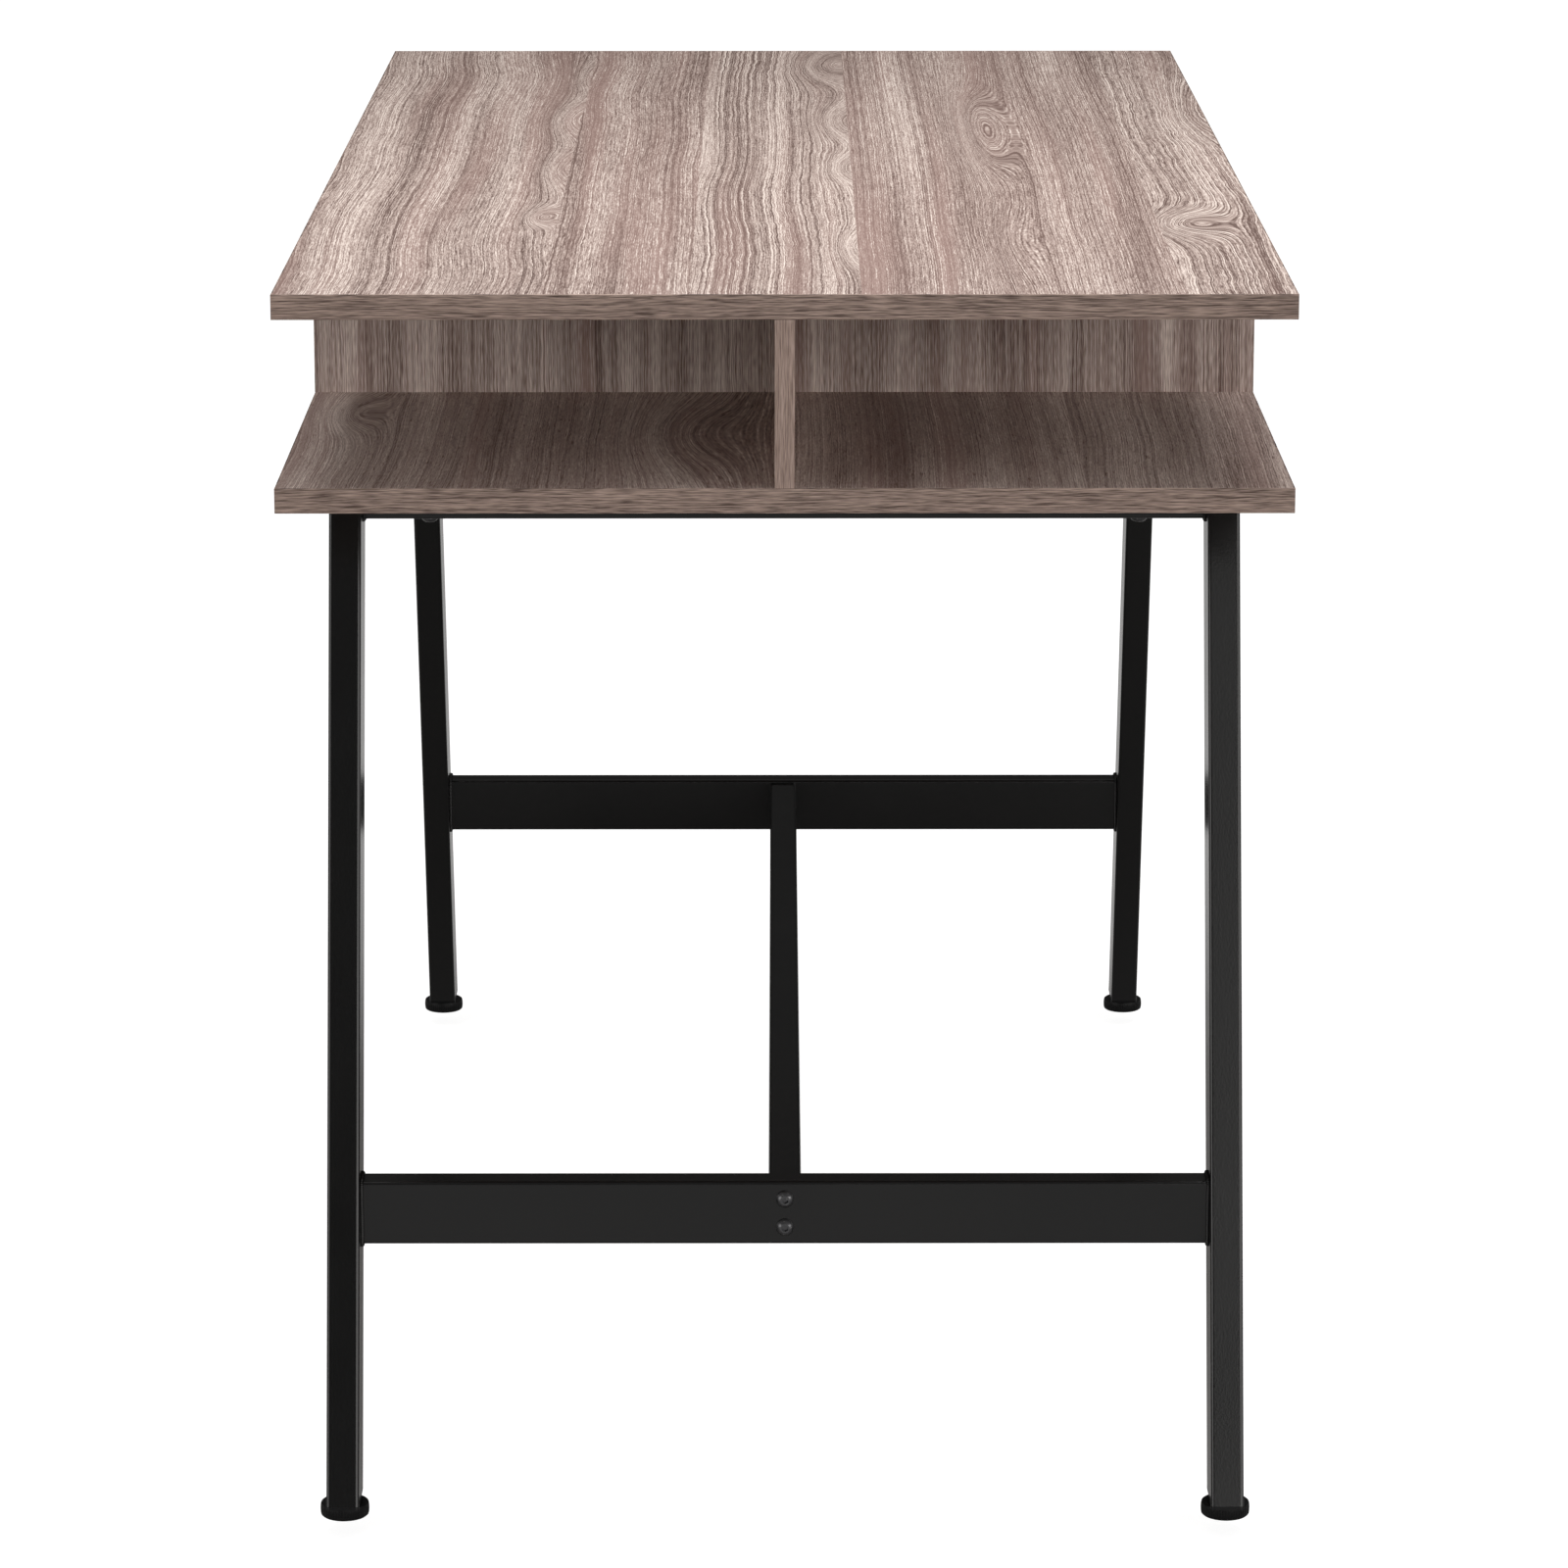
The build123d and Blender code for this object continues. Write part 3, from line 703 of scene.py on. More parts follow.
@dataclass(frozen=True)
class PowderCoat(Finish):
    """Black powder coat with a fine orange-peel texture.

    Attributes:
        shade: brightness of the paint.
        gloss_from: roughness of its smoothest parts.
    """

    shade: float = 0.0022
    gloss_from: float = 0.20

    def dress(self, mix: Recipe) -> dict[str, Any]:
        """Adds the peel, a slow change of sheen and a little dust.

        Args:
            mix: builder of the material's tree.

        Returns:
            Value or socket for each input of the shader.
        """
        peel = mix.specks(900.0, 900.0, 2.0)
        slow = mix.specks(9.0, 9.0, 3.0)
        speck = mix.specks(420.0, 420.0, 0.0).smooth(0.70, 0.82)
        shade = (self.shade, self.shade * 0.99, self.shade)
        dusty = (self.shade * 2.2, self.shade * 2.1, self.shade * 2.0)
        return {
            "Base Color": mix.blend(speck * 0.5 + slow.smooth(0.45, 0.8) * 0.35, shade, dusty),
            "Roughness": self.gloss_from + (slow - 0.5) * 0.12 + (peel - 0.5) * 0.08,
            "Specular IOR Level": 0.36,
            "Normal": mix.bump(peel, 0.05 * MM, 0.6),
        }


@dataclass(frozen=True)
class BlackPlastic(Finish):
    """Moulded black plastic with a spark-eroded grain."""

    def dress(self, mix: Recipe) -> dict[str, Any]:
        """Adds the mould's grain and slight scuffs.

        Args:
            mix: builder of the material's tree.

        Returns:
            Value or socket for each input of the shader.
        """
        pits = mix.specks(1600.0, 1600.0, 1.0)
        scuff = mix.specks(130.0, 420.0, 3.0).smooth(0.60, 0.78)
        clean, scuffed = (0.0022, 0.0022, 0.0025), (0.012, 0.0115, 0.011)
        return {
            "Base Color": mix.blend(scuff * 0.5, clean, scuffed),
            "Roughness": 0.42 + (pits - 0.5) * 0.16 + scuff * 0.12,
            "Specular IOR Level": 0.16,
            "Normal": mix.bump(pits, 0.04 * MM, 0.5),
        }


@dataclass(frozen=True)
class BlackBolt(Finish):
    """Black-oxide screw steel."""

    def dress(self, mix: Recipe) -> dict[str, Any]:
        """Adds the oxide's mottling and rubbed high spots.

        Args:
            mix: builder of the material's tree.

        Returns:
            Value or socket for each input of the shader.
        """
        mottle = mix.specks(260.0, 260.0, 3.0)
        rubbed = mix.specks(700.0, 700.0, 1.0).smooth(0.60, 0.75)
        oxide, steel = (0.075, 0.075, 0.078), (0.240, 0.236, 0.230)
        return {
            "Base Color": mix.blend(rubbed * 0.6, oxide, steel),
            "Metallic": 0.85,
            "Roughness": 0.30 + (mottle - 0.5) * 0.18,
            "Normal": mix.bump(mottle, 0.03 * MM, 0.5),
        }


@dataclass(frozen=True)
class ZincSteel(Finish):
    """Zinc-plated steel of the fittings."""

    def dress(self, mix: Recipe) -> dict[str, Any]:
        """Adds the plating's spangle, turning marks and a slight blue and yellow bloom.

        Args:
            mix: builder of the material's tree.

        Returns:
            Value or socket for each input of the shader.
        """
        bloom = mix.specks(90.0, 90.0, 2.0)
        marks = mix.specks(150.0, 3800.0, 1.0)
        blue, yellow = (0.46, 0.48, 0.52), (0.58, 0.56, 0.50)
        return {
            "Base Color": mix.blend(bloom.smooth(0.3, 0.7), blue, yellow),
            "Metallic": 1.0,
            "Roughness": 0.28 + (marks - 0.5) * 0.22,
            "Normal": mix.bump(marks, 0.02 * MM, 0.6),
        }


@dataclass(frozen=True)
class BeechDowel(Finish):
    """Fluted beech dowels."""

    def dress(self, mix: Recipe) -> dict[str, Any]:
        """Adds beech's short flecks.

        Args:
            mix: builder of the material's tree.

        Returns:
            Value or socket for each input of the shader.
        """
        fleck = mix.specks(900.0, 120.0, 1.0).smooth(0.58, 0.72)
        tone = mix.specks(200.0, 30.0, 2.0)
        wood = mix.blend(tone, (0.50, 0.33, 0.20), (0.66, 0.48, 0.32))
        return {
            "Base Color": mix.blend(fleck * 0.5, wood, (0.30, 0.17, 0.10)),
            "Roughness": 0.62 + fleck * 0.1,
            "Normal": mix.bump(tone + fleck, 0.05 * MM, 0.6),
        }


# ---- meshes and repeats


class Repeat:
    """A Geometry Nodes tree that makes something that repeats."""

    def __init__(self, name: str, inputs: dict[str, str]) -> None:
        """Starts a tree with named inputs.

        Args:
            name: the tree's name.
            inputs: kind of each input, by name: Float, Int, Vector and so on.
        """
        self.tree = bpy.data.node_groups.new(name, "GeometryNodeTree")
        self.nodes = Recipe(self.tree)
        make = self.tree.interface.new_socket
        self.ids: dict[str, str] = {}
        for label, kind in {"Geometry": "Geometry", **inputs, "Material": "Material"}.items():
            made = make(label, in_out="INPUT", socket_type=f"NodeSocket{kind}")
            self.ids[label] = made.identifier
        make("Geometry", in_out="OUTPUT", socket_type="NodeSocketGeometry")
        self.group = self.nodes.node("NodeGroupInput")

    def given(self, name: str) -> Field:
        """One of the tree's inputs."""
        return Field(self.nodes, self.group.outputs[name])

    def shape(self, kind: str, sockets: dict, **settings: Any) -> bpy.types.NodeSocket:
        """The first output of a new geometry node with these inputs."""
        return self.nodes.node(f"GeometryNode{kind}", settings, sockets).outputs[0]

    def end(self, *shapes: Any) -> None:
        """Joins the shapes, realizes what is instanced and sets the material.

        Args:
            shapes: geometry to join.
        """
        joined = self.nodes.node("GeometryNodeJoinGeometry")
        for shape in shapes:
            self.nodes.feed(joined.inputs[0], shape)
        real = self.shape("RealizeInstances", {0: joined.outputs[0]})
        dressed = self.shape("SetMaterial", {"Geometry": real, "Material": self.given("Material")})
        self.nodes.node("NodeGroupOutput", None, {0: dressed})

    def run(self, piece: bpy.types.Object, finish: Finish, values: dict[str, Any]) -> None:
        """Runs the tree on a piece and leaves its result there as a plain mesh.

        Args:
            piece: the object whose geometry goes in.
            finish: what the result is finished in.
            values: the tree's other inputs, by name.
        """
        modifier = piece.modifiers.new("Repeat", "NODES")
        modifier.node_group = self.tree
        for name, value in {**values, "Material": material_of(finish)}.items():
            modifier[self.ids[name]] = value
        graph = bpy.context.evaluated_depsgraph_get()
        graph.update()
        mesh = bpy.data.meshes.new_from_object(piece.evaluated_get(graph), depsgraph=graph)
        piece.modifiers.remove(modifier)
        piece.data = mesh


def new_piece(name: str, mesh: bpy.types.Mesh) -> bpy.types.Object:
    """Links a mesh into the scene as an object at the origin.

    Args:
        name: the piece's name.
        mesh: its mesh.

    Returns:
        The object.
    """
    piece = bpy.data.objects.new(name, mesh)
    bpy.context.scene.collection.objects.link(piece)
    return piece


def turned(name: str, profile: Profile, at: Vector, steps: int) -> bpy.types.Object:
    """A shape turned round an upright axis.

    Args:
        name: the piece's name.
        profile: its outline, from the axis and back to it.
        at: where the axis stands.
        steps: number of facets round the axis.

    Returns:
        The piece, with outward faces.
    """
    bm = bmesh.new()
    verts = [bm.verts.new((radius, 0.0, height)) for radius, height in profile]
    edges = [bm.edges.new(pair) for pair in zip(verts, verts[1:])]
    bmesh.ops.spin(
        bm, geom=verts + edges, cent=(0, 0, 0), axis=(0, 0, 1), angle=math.tau, steps=steps
    )
    bmesh.ops.remove_doubles(bm, verts=bm.verts, dist=WELD_DISTANCE)
    bmesh.ops.dissolve_degenerate(bm, dist=WELD_DISTANCE / 4, edges=bm.edges)
    bmesh.ops.recalc_face_normals(bm, faces=bm.faces)
    bmesh.ops.translate(bm, verts=bm.verts, vec=at)
    mesh = bpy.data.meshes.new(name)
    bm.to_mesh(mesh)
    bm.free()
    return new_piece(name, mesh)


def smooth_by_angle(piece: bpy.types.Object, degrees: float) -> None:
    """Shades a piece smooth, with sharp edges where it turns by more than an angle.

    Args:
        piece: the object.
        degrees: the angle.
    """
    piece.data.shade_smooth()
    piece.data.set_sharp_from_angle(angle=math.radians(degrees))


def place_piece(piece: bpy.types.Object, body: str, finish: Finish, *nodes: str) -> None:
    """Gives a piece its body and the CAD nodes that it stands for.

    Args:
        piece: the object.
        body: the CAD body that it rides.
        finish: what it is finished in.
        nodes: the CAD nodes that it replaces.
    """
    piece.data.materials.clear()
    piece.data.materials.append(material_of(finish))
    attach(piece, body)
    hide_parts(*nodes)
    log.info("%s: %d faces on %s", piece.name, len(piece.data.polygons), body)


def finish_nodes(finish: Finish, *names: str) -> None:
    """Dresses CAD nodes that are shown as they are.

    Args:
        finish: what they are finished in.
        names: the nodes.
    """
    for name in names:
        node = frame["nodes"][name]
        node.data.materials.clear()
        node.data.materials.append(material_of(finish))
        log.info("%s: finished in %s", name, finish.name)


# ---- sub-assemblies


PAINT = PowderCoat("black_powder_coat", "black_powder_coat")
PLASTIC = BlackPlastic("black_plastic", "black_plastic")
BOLTS = BlackBolt("black_oxide_bolts", "black_bolts")
ZINC = ZincSteel("zinc_plate", "zinc_steel")


@dataclass
class Boards:
    """The top and the shelf, with their edging.

    Attributes:
        top: the top's planks, and how strong its fine lines are.
        shelf: the same of the shelf.
    """

    top: tuple[tuple[Plank, ...], float] = (DESKTOP_PLANKS, 1.45)
    shelf: tuple[tuple[Plank, ...], float] = (SHELF_PLANKS, 1.05)

    def build(self) -> None:
        """Dresses both boards and their strips."""
        for board, (planks, contrast) in (("top", self.top), ("shelf", self.shelf)):
            look = {"planks": planks, "contrast": contrast}
            face = OakLaminate(f"oak_laminate_{board}", "oak_laminate", **look)
            finish_nodes(face, f"{board}_panel")
        half_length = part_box("top_edge_bands")[1].x
        edging = OakEdging("oak_edging_boards", "oak_edging", half_length=half_length)
        finish_nodes(edging, "top_edge_bands", "shelf_edge_bands")


@dataclass
class EndBay:
    """The cross panel and the divider at one end of the desk.

    Attributes:
        side: right or left.
        streak: strength of the upright tonal streaks on the panels.
        spread: width of the panels' lines, as a share of the top's.
        dark: colour of the pores on the divider's strip.
        light: colour of the wood between them.
    """

    side: str
    streak: float = 1.35
    spread: float = 0.50
    dark: RGB = (0.180, 0.122, 0.100)
    light: RGB = (0.430, 0.322, 0.275)

    def build(self) -> None:
        """Dresses the panel, the divider and their strips with upright grain."""
        look = {"planks": STRAIGHT, "streak": self.streak, "spread": self.spread}
        for board, node, grain in (
            ("panel", "cross_panel", Grain.UPRIGHT_ACROSS_Y),
            ("divider", "divider", Grain.UPRIGHT_ACROSS_X),
        ):
            name = f"oak_laminate_{board}_{self.side}"
            finish_nodes(OakLaminate(name, "oak_laminate", grain, **look), f"{self.side}_{node}")
        pale = {"dark": self.dark, "light": self.light}
        for strip, node, grain, shades in (
            ("upright", "divider_band", Grain.UPRIGHT_ACROSS_Y, pale),
            ("panel_ends", "cross_panel_bands", Grain.UPRIGHT_ACROSS_X, {}),
        ):
            edging = OakEdging(f"oak_edging_{strip}", "oak_edging", grain, **shades)
            finish_nodes(edging, f"{self.side}_{node}")


@dataclass
class LegFrame:
    """The welded frame at one end: two legs, a top rail and a crossbar.

    Attributes:
        side: right or left.
        corner: outer corner radius of the tubes, in metres.
        bead: radius of a weld ripple, in metres.
        ripple: distance between ripples, in metres.
        tilt: how far each ripple leans along the seam, in radians.
        stand_off: how far a bead's middle stands off the tube, as a share of its radius.
        corner_steps: how many straight pieces the seam has at each corner.
        seed: seed of the ripples' unevenness.
    """

    side: str
    corner: float = 2.0 * MM
    bead: float = 1.5 * MM
    ripple: float = 1.1 * MM
    tilt: float = 0.6
    stand_off: float = 0.35
    corner_steps: int = 6
    seed: int = 7

    def build(self) -> None:
        """Paints the tubes and lays the weld beads."""
        legs = [f"{self.side}_{end}_leg" for end in ENDS]
        finish_nodes(PAINT, *legs, f"{self.side}_top_rail", f"{self.side}_crossbar")
        finish_nodes(PLASTIC, *[f"{self.side}_{end}_leg_plug" for end in ENDS])
        self.weld()

    def seam(self, tube: str, end: int, closed: bool) -> list[Vector]:
        """The path of a weld round the end of a tube, on the leg's face.

        Args:
            tube: the tube's CAD node.
            end: -1 for the front leg, 1 for the rear one.
            closed: whether the weld also runs over the top of the tube.

        Returns:
            The path's points, in order.
        """
        low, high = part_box(tube)
        out = self.stand_off * self.bead
        wall = (high.y if end > 0 else low.y) - end * out
        turn = self.corner + out
        corners = [
            (high.x - self.corner, high.z - self.corner, 0.0),
            (low.x + self.corner, high.z - self.corner, 90.0),
            (low.x + self.corner, low.z + self.corner, 180.0),
            (high.x - self.corner, low.z + self.corner, 270.0),
        ]
        path = []
        for x, z, start in corners if closed else corners[1:] + corners[:1]:
            for step in range(self.corner_steps + 1):
                angle = math.radians(start + step * 90.0 / self.corner_steps)
                path.append(Vector((x + turn * math.cos(angle), wall, z + turn * math.sin(angle))))
        if closed:
            return path + [path[0]]
        top = high.z - self.bead
        inner = [p for p in path if p.z < top]
        first, last = inner[0].copy(), inner[-1].copy()
        first.z = last.z = top
        return [first, *inner, last]

    def weld(self) -> None:
        """Lays rippled beads where the tubes meet the legs."""
        bm = bmesh.new()
        for tube, closed in (("crossbar", True), ("top_rail", False)):
            for end in ENDS.values():
                verts = [bm.verts.new(p) for p in self.seam(f"{self.side}_{tube}", end, closed)]
                for pair in zip(verts, verts[1:]):
                    bm.edges.new(pair)
        mesh = bpy.data.meshes.new("seams")
        bm.to_mesh(mesh)
        bm.free()
        piece = new_piece(f"{self.side}_weld_beads", mesh)
        values = {"Ripple": self.ripple, "Bead Radius": self.bead, "Tilt": self.tilt}
        bead_tree().run(piece, PAINT, {**values, "Seed": self.seed})
        smooth_by_angle(piece, 60.0)
        place_piece(piece, "root", PAINT, f"{self.side}_welds")


@lru_cache(maxsize=None)
def bead_tree() -> Repeat:
    """Tree that stacks tilted, uneven ripples along a path, as a weld is laid.

    Returns:
        The tree.
    """
    least, most, flatness = 0.90, 1.12, 0.62
    kinds = {"Ripple": "Float", "Bead Radius": "Float", "Tilt": "Float", "Seed": "Int"}
    tree = Repeat("weld_bead", kinds)
    path = tree.shape("MeshToCurve", {"Mesh": tree.given("Geometry")})
    points = tree.nodes.node(
        "GeometryNodeCurveToPoints", {"mode": "LENGTH"}, {0: path, "Length": tree.given("Ripple")}
    )
    lump = tree.shape("MeshUVSphere", {"Segments": 10, "Rings": 6, "Radius": 1.0})
    uneven = {2: least, 3: most, "Seed": tree.given("Seed")}
    size = tree.nodes.field("FunctionNodeRandomValue", {"data_type": "FLOAT"}, uneven, 1)
    radius = size * tree.given("Bead Radius")
    lean = {0: points.outputs["Rotation"], 1: tree.nodes.point(tree.given("Tilt"), 0.0, 0.0)}
    leaning = tree.nodes.node("FunctionNodeRotateRotation", {"rotation_space": "LOCAL"}, lean)
    placed = {
        "Points": points.outputs["Points"],
        "Instance": lump,
        "Rotation": leaning.outputs[0],
        "Scale": tree.nodes.point(radius, radius, radius * flatness),
    }
    tree.end(tree.shape("InstanceOnPoints", placed))
    return tree


@dataclass
class Stretcher:
    """The tube along the middle of the desk and the bolts that hold the frame."""

    def build(self) -> None:
        """Paints the tube and blackens the bolts."""
        finish_nodes(PAINT, "stretcher", "stretcher_end_plates")
        finish_nodes(BOLTS, "stretcher_bolts", "rail_bolts")


@lru_cache(maxsize=None)
def rib_tree() -> Repeat:
    """Tree that sets upright ribs round a turned base.

    Returns:
        The tree.
    """
    radii = {"Rim Radius": "Float", "Rib Radius": "Float"}
    kinds = {"Axis": "Vector", **radii, "Rib Height": "Float", "Rib Count": "Int"}
    tree = Repeat("grip_ribs", kinds)
    rim = {"Vertices": tree.given("Rib Count"), "Radius": tree.given("Rim Radius")}
    ring = tree.shape("MeshCircle", rim)
    moved = tree.shape("Transform", {"Geometry": ring, "Translation": tree.given("Axis")})
    rib = tree.shape("MeshUVSphere", {"Segments": 8, "Rings": 6, "Radius": 1.0})
    thick = tree.given("Rib Radius")
    scale = tree.nodes.point(thick, thick, tree.given("Rib Height") * 0.5)
    placed = tree.shape("InstanceOnPoints", {"Points": moved, "Instance": rib, "Scale": scale})
    tree.end(tree.given("Geometry"), placed)
    return tree


@lru_cache(maxsize=None)
def thread_tree() -> Repeat:
    """Tree that winds a V thread round a turned core.

    Returns:
        The tree.
    """
    sizes = {"Turns": "Float", "Height": "Float", "Mid Radius": "Float", "Ridge": "Float"}
    tree = Repeat("v_thread", {"Axis": "Vector", **sizes})
    middle = tree.given("Mid Radius")
    spiral = {
        "Resolution": 20,
        "Rotations": tree.given("Turns"),
        "Start Radius": middle,
        "End Radius": middle,
        "Height": tree.given("Height"),
        "Reverse": True,
    }
    helix = tree.shape("CurveSpiral", spiral)
    upright = tree.shape("SetCurveNormal", {0: helix}, mode="Z_UP")
    vee = {"Resolution": 4, "Radius": tree.given("Ridge")}
    ridge = tree.shape("CurvePrimitiveCircle", vee, mode="RADIUS")
    wound = tree.shape("CurveToMesh", {0: upright, "Profile Curve": ridge, "Fill Caps": True})
    moved = tree.shape("Transform", {"Geometry": wound, "Translation": tree.given("Axis")})
    tree.end(tree.given("Geometry"), moved)
    return tree


@dataclass
class LevellingFoot:
    """A ribbed plastic base on a threaded stud.

    Attributes:
        side: right or left.
        end: front or rear.
        rib: radius of a grip rib, in metres.
        ribs: how many ribs there are.
        hub: radius of the raised hub round the stud, in metres.
        rise: how far the hub stands above the rim, in metres.
        bore: radius of the hole that the stud stands in, in metres.
        bed: height of that hole's bottom, in metres.
        recess: depth of the hollow in the sole, in metres.
        pitch: rise of the thread in one turn, in metres.
        ridge: height of the thread, in metres.
        lead: height of the taper at either end of the thread, in metres.
    """

    side: str
    end: str
    rib: float = 0.55 * MM
    ribs: int = 54
    hub: float = 7.0 * MM
    rise: float = 1.1 * MM
    bore: float = 4.05 * MM
    bed: float = 3.0 * MM
    recess: float = 0.5 * MM
    pitch: float = 1.25 * MM
    ridge: float = 0.62 * MM
    lead: float = 0.8 * MM

    def build(self) -> None:
        """Makes the base and the stud."""
        self.base()
        self.stud()

    def base(self) -> None:
        """Turns the base and sets its ribs."""
        name = f"{self.side}_{self.end}"
        low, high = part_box(f"{name}_disc")
        middle = (low + high) / 2
        rim = (high.x - low.x) / 2
        body = rim - 0.45 * self.rib
        top = high.z - low.z
        tall = top - self.rise
        profile = [
            (0.0, self.recess),
            (8.0 * MM, self.recess),
            (8.6 * MM, 0.0),
            (body - 1.9 * MM, 0.0),
            (body - 0.9 * MM, 0.25 * MM),
            (body - 0.25 * MM, 0.85 * MM),
            (body, 1.7 * MM),
            (body, tall - 1.1 * MM),
            (body - 0.2 * MM, tall - 0.45 * MM),
            (body - 0.8 * MM, tall),
            (self.hub + 0.6 * MM, tall),
            (self.hub, tall + 0.5 * MM),
            (self.hub - 0.15 * MM, top - 0.4 * MM),
            (self.hub - 0.5 * MM, top),
            (self.bore, top),
            (self.bore, self.bed),
            (0.0, self.bed),
        ]
        foot = Vector((middle.x, middle.y, low.z))
        piece = turned(f"{name}_foot_base", profile, foot, 2 * self.ribs)
        values = {
            "Axis": (middle.x, middle.y, low.z + tall / 2 + 0.15 * MM),
            "Rim Radius": rim - self.rib,
            "Rib Radius": self.rib,
            "Rib Height": tall - 1.0 * MM,
            "Rib Count": self.ribs,
        }
        rib_tree().run(piece, PLASTIC, values)
        smooth_by_angle(piece, 35.0)
        place_piece(piece, f"{name}_disc", PLASTIC, f"{name}_disc")

    def stud(self) -> None:
        """Turns the stud's core and winds its thread."""
        name = f"{self.side}_{self.end}"
        low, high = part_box(f"{name}_stud")
        middle = (low + high) / 2
        crest = (high.x - low.x) / 2
        root = crest - self.ridge
        tip = root - 0.35 * MM
        tall = high.z - low.z
        profile = [
            (0.0, 0.0),
            (tip, 0.0),
            (root, self.lead),
            (root, tall - self.lead),
            (tip, tall),
            (0.0, tall),
        ]
        piece = turned(f"{name}_foot_stud", profile, Vector((middle.x, middle.y, low.z)), 32)
        wound = tall - 2 * self.lead
        values = {
            "Axis": (middle.x, middle.y, low.z + self.lead),
            "Turns": wound / self.pitch,
            "Height": wound,
            "Mid Radius": root,
            "Ridge": self.ridge,
        }
        thread_tree().run(piece, ZINC, values)
        smooth_by_angle(piece, 30.0)
        place_piece(piece, f"{name}_stud", ZINC, f"{name}_stud")


@dataclass
class Fittings:
    """The dowels, cams, screws and inserts inside the joints."""

    def build(self) -> None:
        """Finishes the hidden fittings."""
        finish_nodes(BeechDowel("beech_dowel", "beech_dowel"), "panel_dowels", "divider_dowels")
        finish_nodes(ZINC, "cam_bolts", "cam_locks", "shelf_screws", "divider_screws")
        finish_nodes(ZINC, "shelf_inserts", "plug_nuts")


# ---- studio


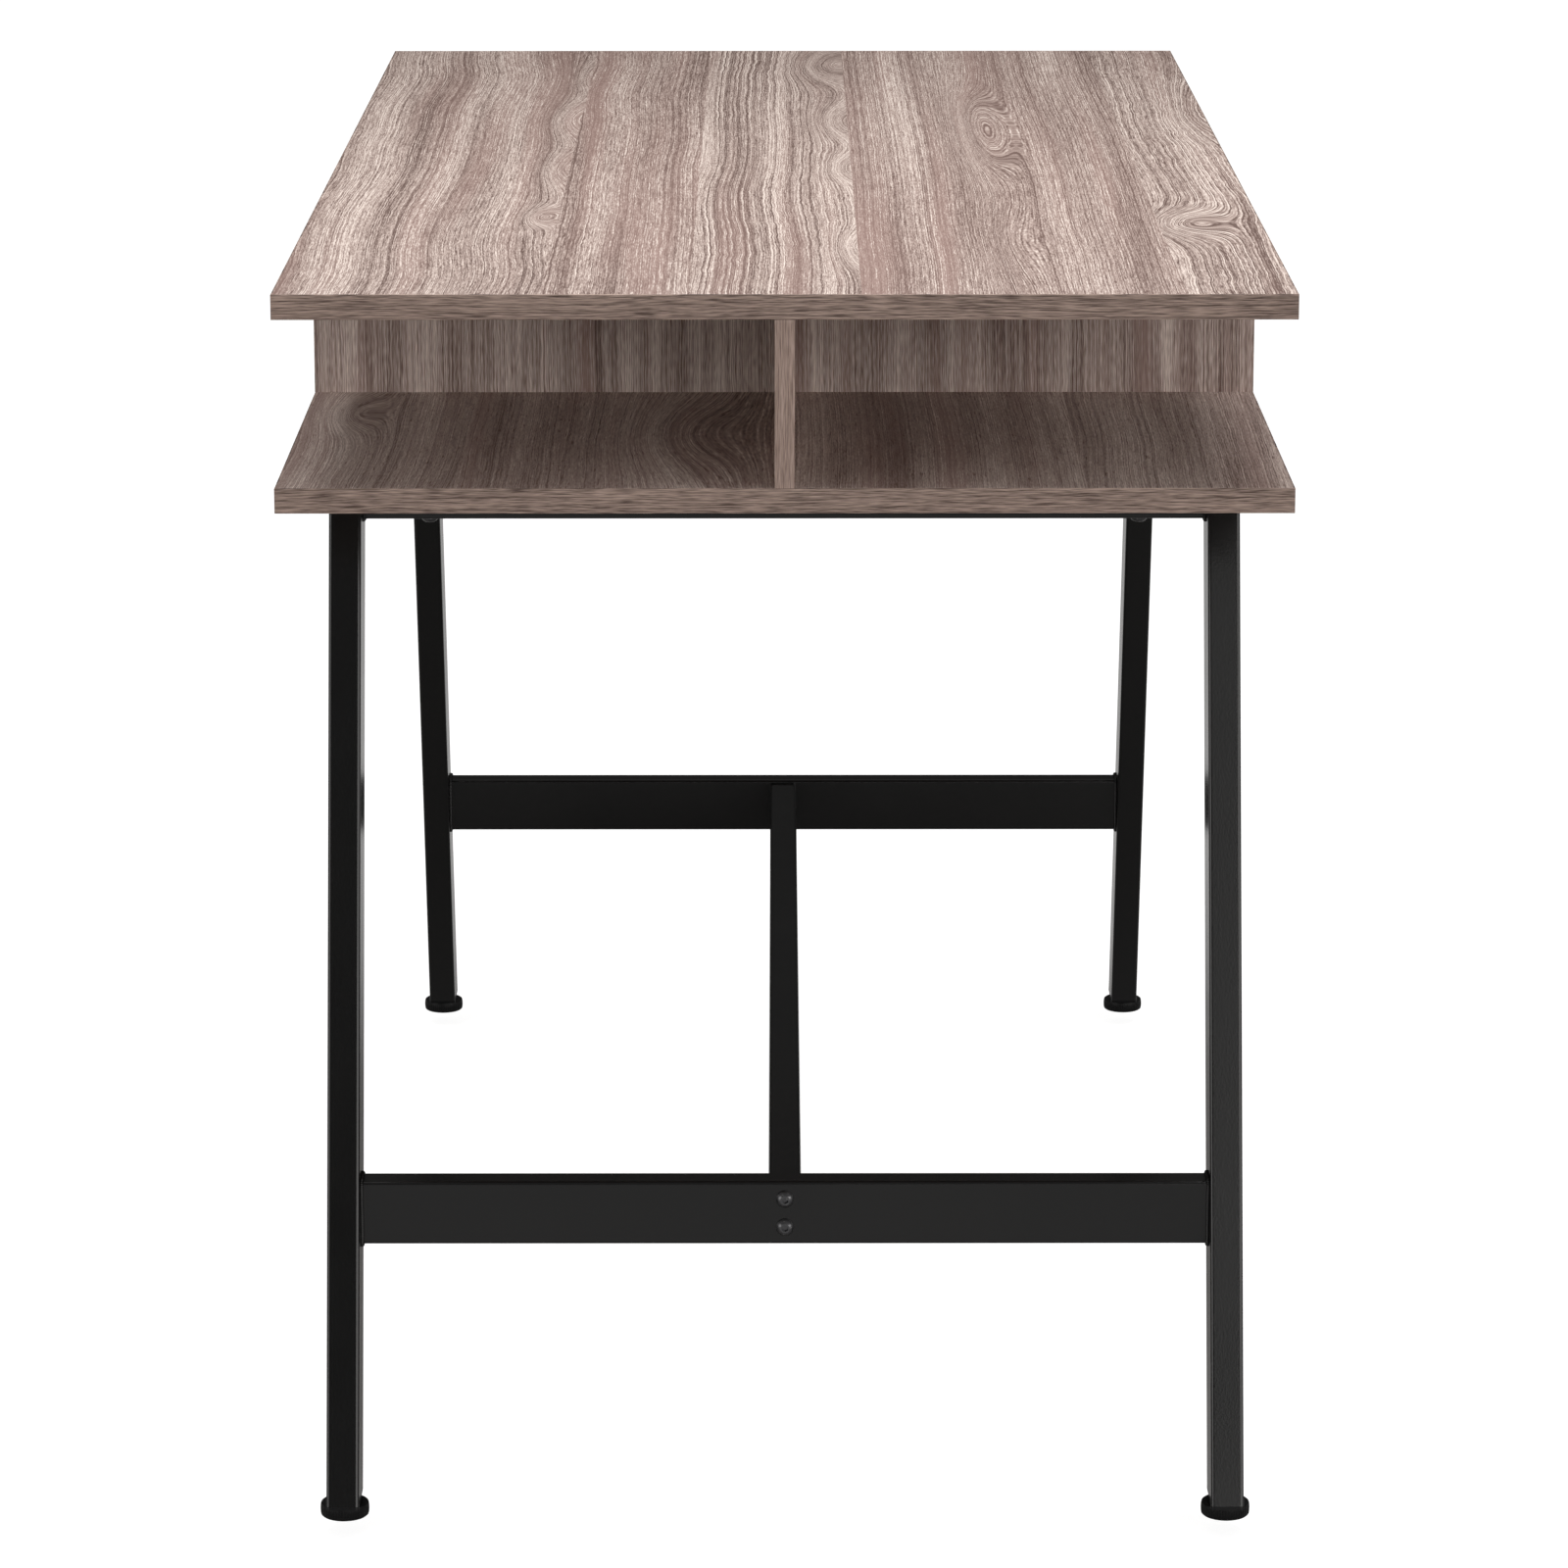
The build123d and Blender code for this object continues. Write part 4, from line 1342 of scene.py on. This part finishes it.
@dataclass
class Studio:
    """Floor, soft light and camera.

    Attributes:
        eye: where the camera stands, in metres.
        pitch: how far it looks down, in radians.
        yaw: how far it looks to the right, in radians.
        roll: how far it is tilted, in radians.
        lens: focal length on a 36 mm sensor, in millimetres.
        key: power of the overhead softbox, in watts.
        over: where the softbox hangs, from the middle of the desk's top, in metres.
        box_size: its width and depth, in metres.
        sky: brightness of the ceiling.
        wall: brightness of the low light wall in front of the desk.
        floor_drop: how far the floor lies below the feet, so that they show screwed out.
        reach: how far the floor goes each way, in metres.
    """

    eye: tuple[float, float, float] = (4.12685, -0.00433, 1.32128)
    pitch: float = 0.23725
    yaw: float = 0.00108
    roll: float = 0.00033
    lens: float = 140.23
    key: float = 32.0
    over: tuple[float, float, float] = (0.40, 0.18, 1.50)
    box_size: tuple[float, float] = (0.60, 1.9)
    sky: float = 0.30
    wall: float = 3.45
    floor_drop: float = 10.5 * MM
    reach: float = 60.0

    def build(self) -> None:
        """Sets up the room."""
        self.camera()
        self.floor()
        self.softbox()
        self.surroundings()
        bpy.context.scene.view_settings.view_transform = "Standard"
        log.info("studio: camera, floor, softbox and room")

    def camera(self) -> None:
        """Points the camera at the desk's end."""
        data = bpy.data.cameras.new("camera")
        data.sensor_width = 36.0
        data.lens = self.lens
        data.clip_start = 0.05
        data.clip_end = 200.0
        level = math.cos(self.pitch)
        forward, aside = -level * math.cos(self.yaw), level * math.sin(self.yaw)
        ahead = Vector((forward, aside, -math.sin(self.pitch)))
        right = Vector((math.sin(self.yaw), math.cos(self.yaw), 0.0))
        up = right.cross(ahead)
        tilt = Matrix.Rotation(self.roll, 3, ahead)
        axes = Matrix((tilt @ right, tilt @ up, -(tilt @ ahead))).transposed()
        camera = bpy.data.objects.new("camera", data)
        camera.matrix_world = Matrix.Translation(self.eye) @ axes.to_4x4()
        bpy.context.scene.collection.objects.link(camera)
        bpy.context.scene.camera = camera

    def floor(self) -> None:
        """Lays a plain white floor that throws little light back up at the desk; in reflections
        its glow fades under the desk, a painted shadow.
        """
        bm = bmesh.new()
        level = Matrix.Translation((0.0, 0.0, -self.floor_drop))
        bmesh.ops.create_grid(bm, x_segments=1, y_segments=1, size=self.reach, matrix=level)
        mesh = bpy.data.meshes.new("floor")
        bm.to_mesh(mesh)
        bm.free()
        floor = new_piece("floor", mesh)
        material = bpy.data.materials.new("studio_floor")
        material.use_nodes = True
        material.node_tree.nodes.clear()
        mix = Recipe(material.node_tree)
        path = mix.node("ShaderNodeLightPath")
        glossy = Field(mix, path.outputs["Is Glossy Ray"])
        # in reflections the floor's glow fades towards the desk: a painted shadow of the desk on
        # the floor
        outside_painted_desk_shade = abs(mix.place()[0]).smooth(0.30, 1.00)
        reflected_glow_share = glossy * (outside_painted_desk_shade * 0.34 + 0.05)
        white = reflected_glow_share + Field(mix, path.outputs["Is Camera Ray"])
        matt = mix.result("BsdfDiffuse", {"Color": (0.5, 0.5, 0.5, 1.0)})
        glow = mix.result("Emission", {"Color": (1.0, 1.0, 1.0, 1.0), "Strength": 0.86})
        lit = mix.result("AddShader", {0: matt, 1: glow})
        grey = mix.result("BsdfDiffuse", {"Color": (0.38, 0.37, 0.36, 1.0)})
        both = mix.result("MixShader", {0: white, 1: grey, 2: lit})
        mix.node("ShaderNodeOutputMaterial", None, {"Surface": both})
        mesh.materials.append(material)

    def softbox(self) -> None:
        """Hangs one rectangular soft light over the desk, facing straight down."""
        low, high = cad_bounds
        top = Vector(((low.x + high.x) / 2, (low.y + high.y) / 2, high.z))
        data = bpy.data.lights.new("overhead", "AREA")
        data.shape = "RECTANGLE"
        data.size, data.size_y = self.box_size
        data.energy = self.key
        lamp = bpy.data.objects.new("overhead", data)
        lamp.location = top + Vector(self.over)
        lamp.rotation_mode = "QUATERNION"
        lamp.rotation_quaternion = Vector((0.0, 0.0, -1.0)).to_track_quat("-Z", "Y")
        lamp.visible_camera = False
        bpy.context.scene.collection.objects.link(lamp)

    def surroundings(self) -> None:
        """Wraps the desk in a dim room with a pale ceiling and a low light wall in front."""
        world = bpy.data.worlds.new("room")
        bpy.context.scene.world = world
        world.use_nodes = True
        world.node_tree.nodes.clear()
        mix = Recipe(world.node_tree)
        x, y, z = mix.place("Generated")
        ceiling = z.smooth(0.20, 0.60) * self.sky + 0.02
        gap = y.smooth(-0.60, -0.48) * y.dip(0.06, 0.16)
        wall = x.smooth(0.02, 0.45) * z.dip(0.32, 0.44) * (1.0 - gap * 0.97)
        backdrop = Field(mix, mix.node("ShaderNodeLightPath").outputs["Is Camera Ray"])
        strength = wall * self.wall + ceiling + backdrop
        room = mix.result("Background", {"Color": (1.0, 0.985, 0.97, 1.0), "Strength": strength})
        mix.node("ShaderNodeOutputWorld", None, {"Surface": room})


def main() -> None:
    """Builds the desk's looks in order."""
    logging.basicConfig(level=logging.INFO, format="%(message)s")
    parts = [Boards(), *map(EndBay, SIDES), *map(LegFrame, SIDES), Stretcher()]
    parts += [LevellingFoot(side, end) for side in SIDES for end in ENDS]
    for part in (*parts, Fittings(), Studio()):
        part.build()


if __name__ == "__main__":
    main()
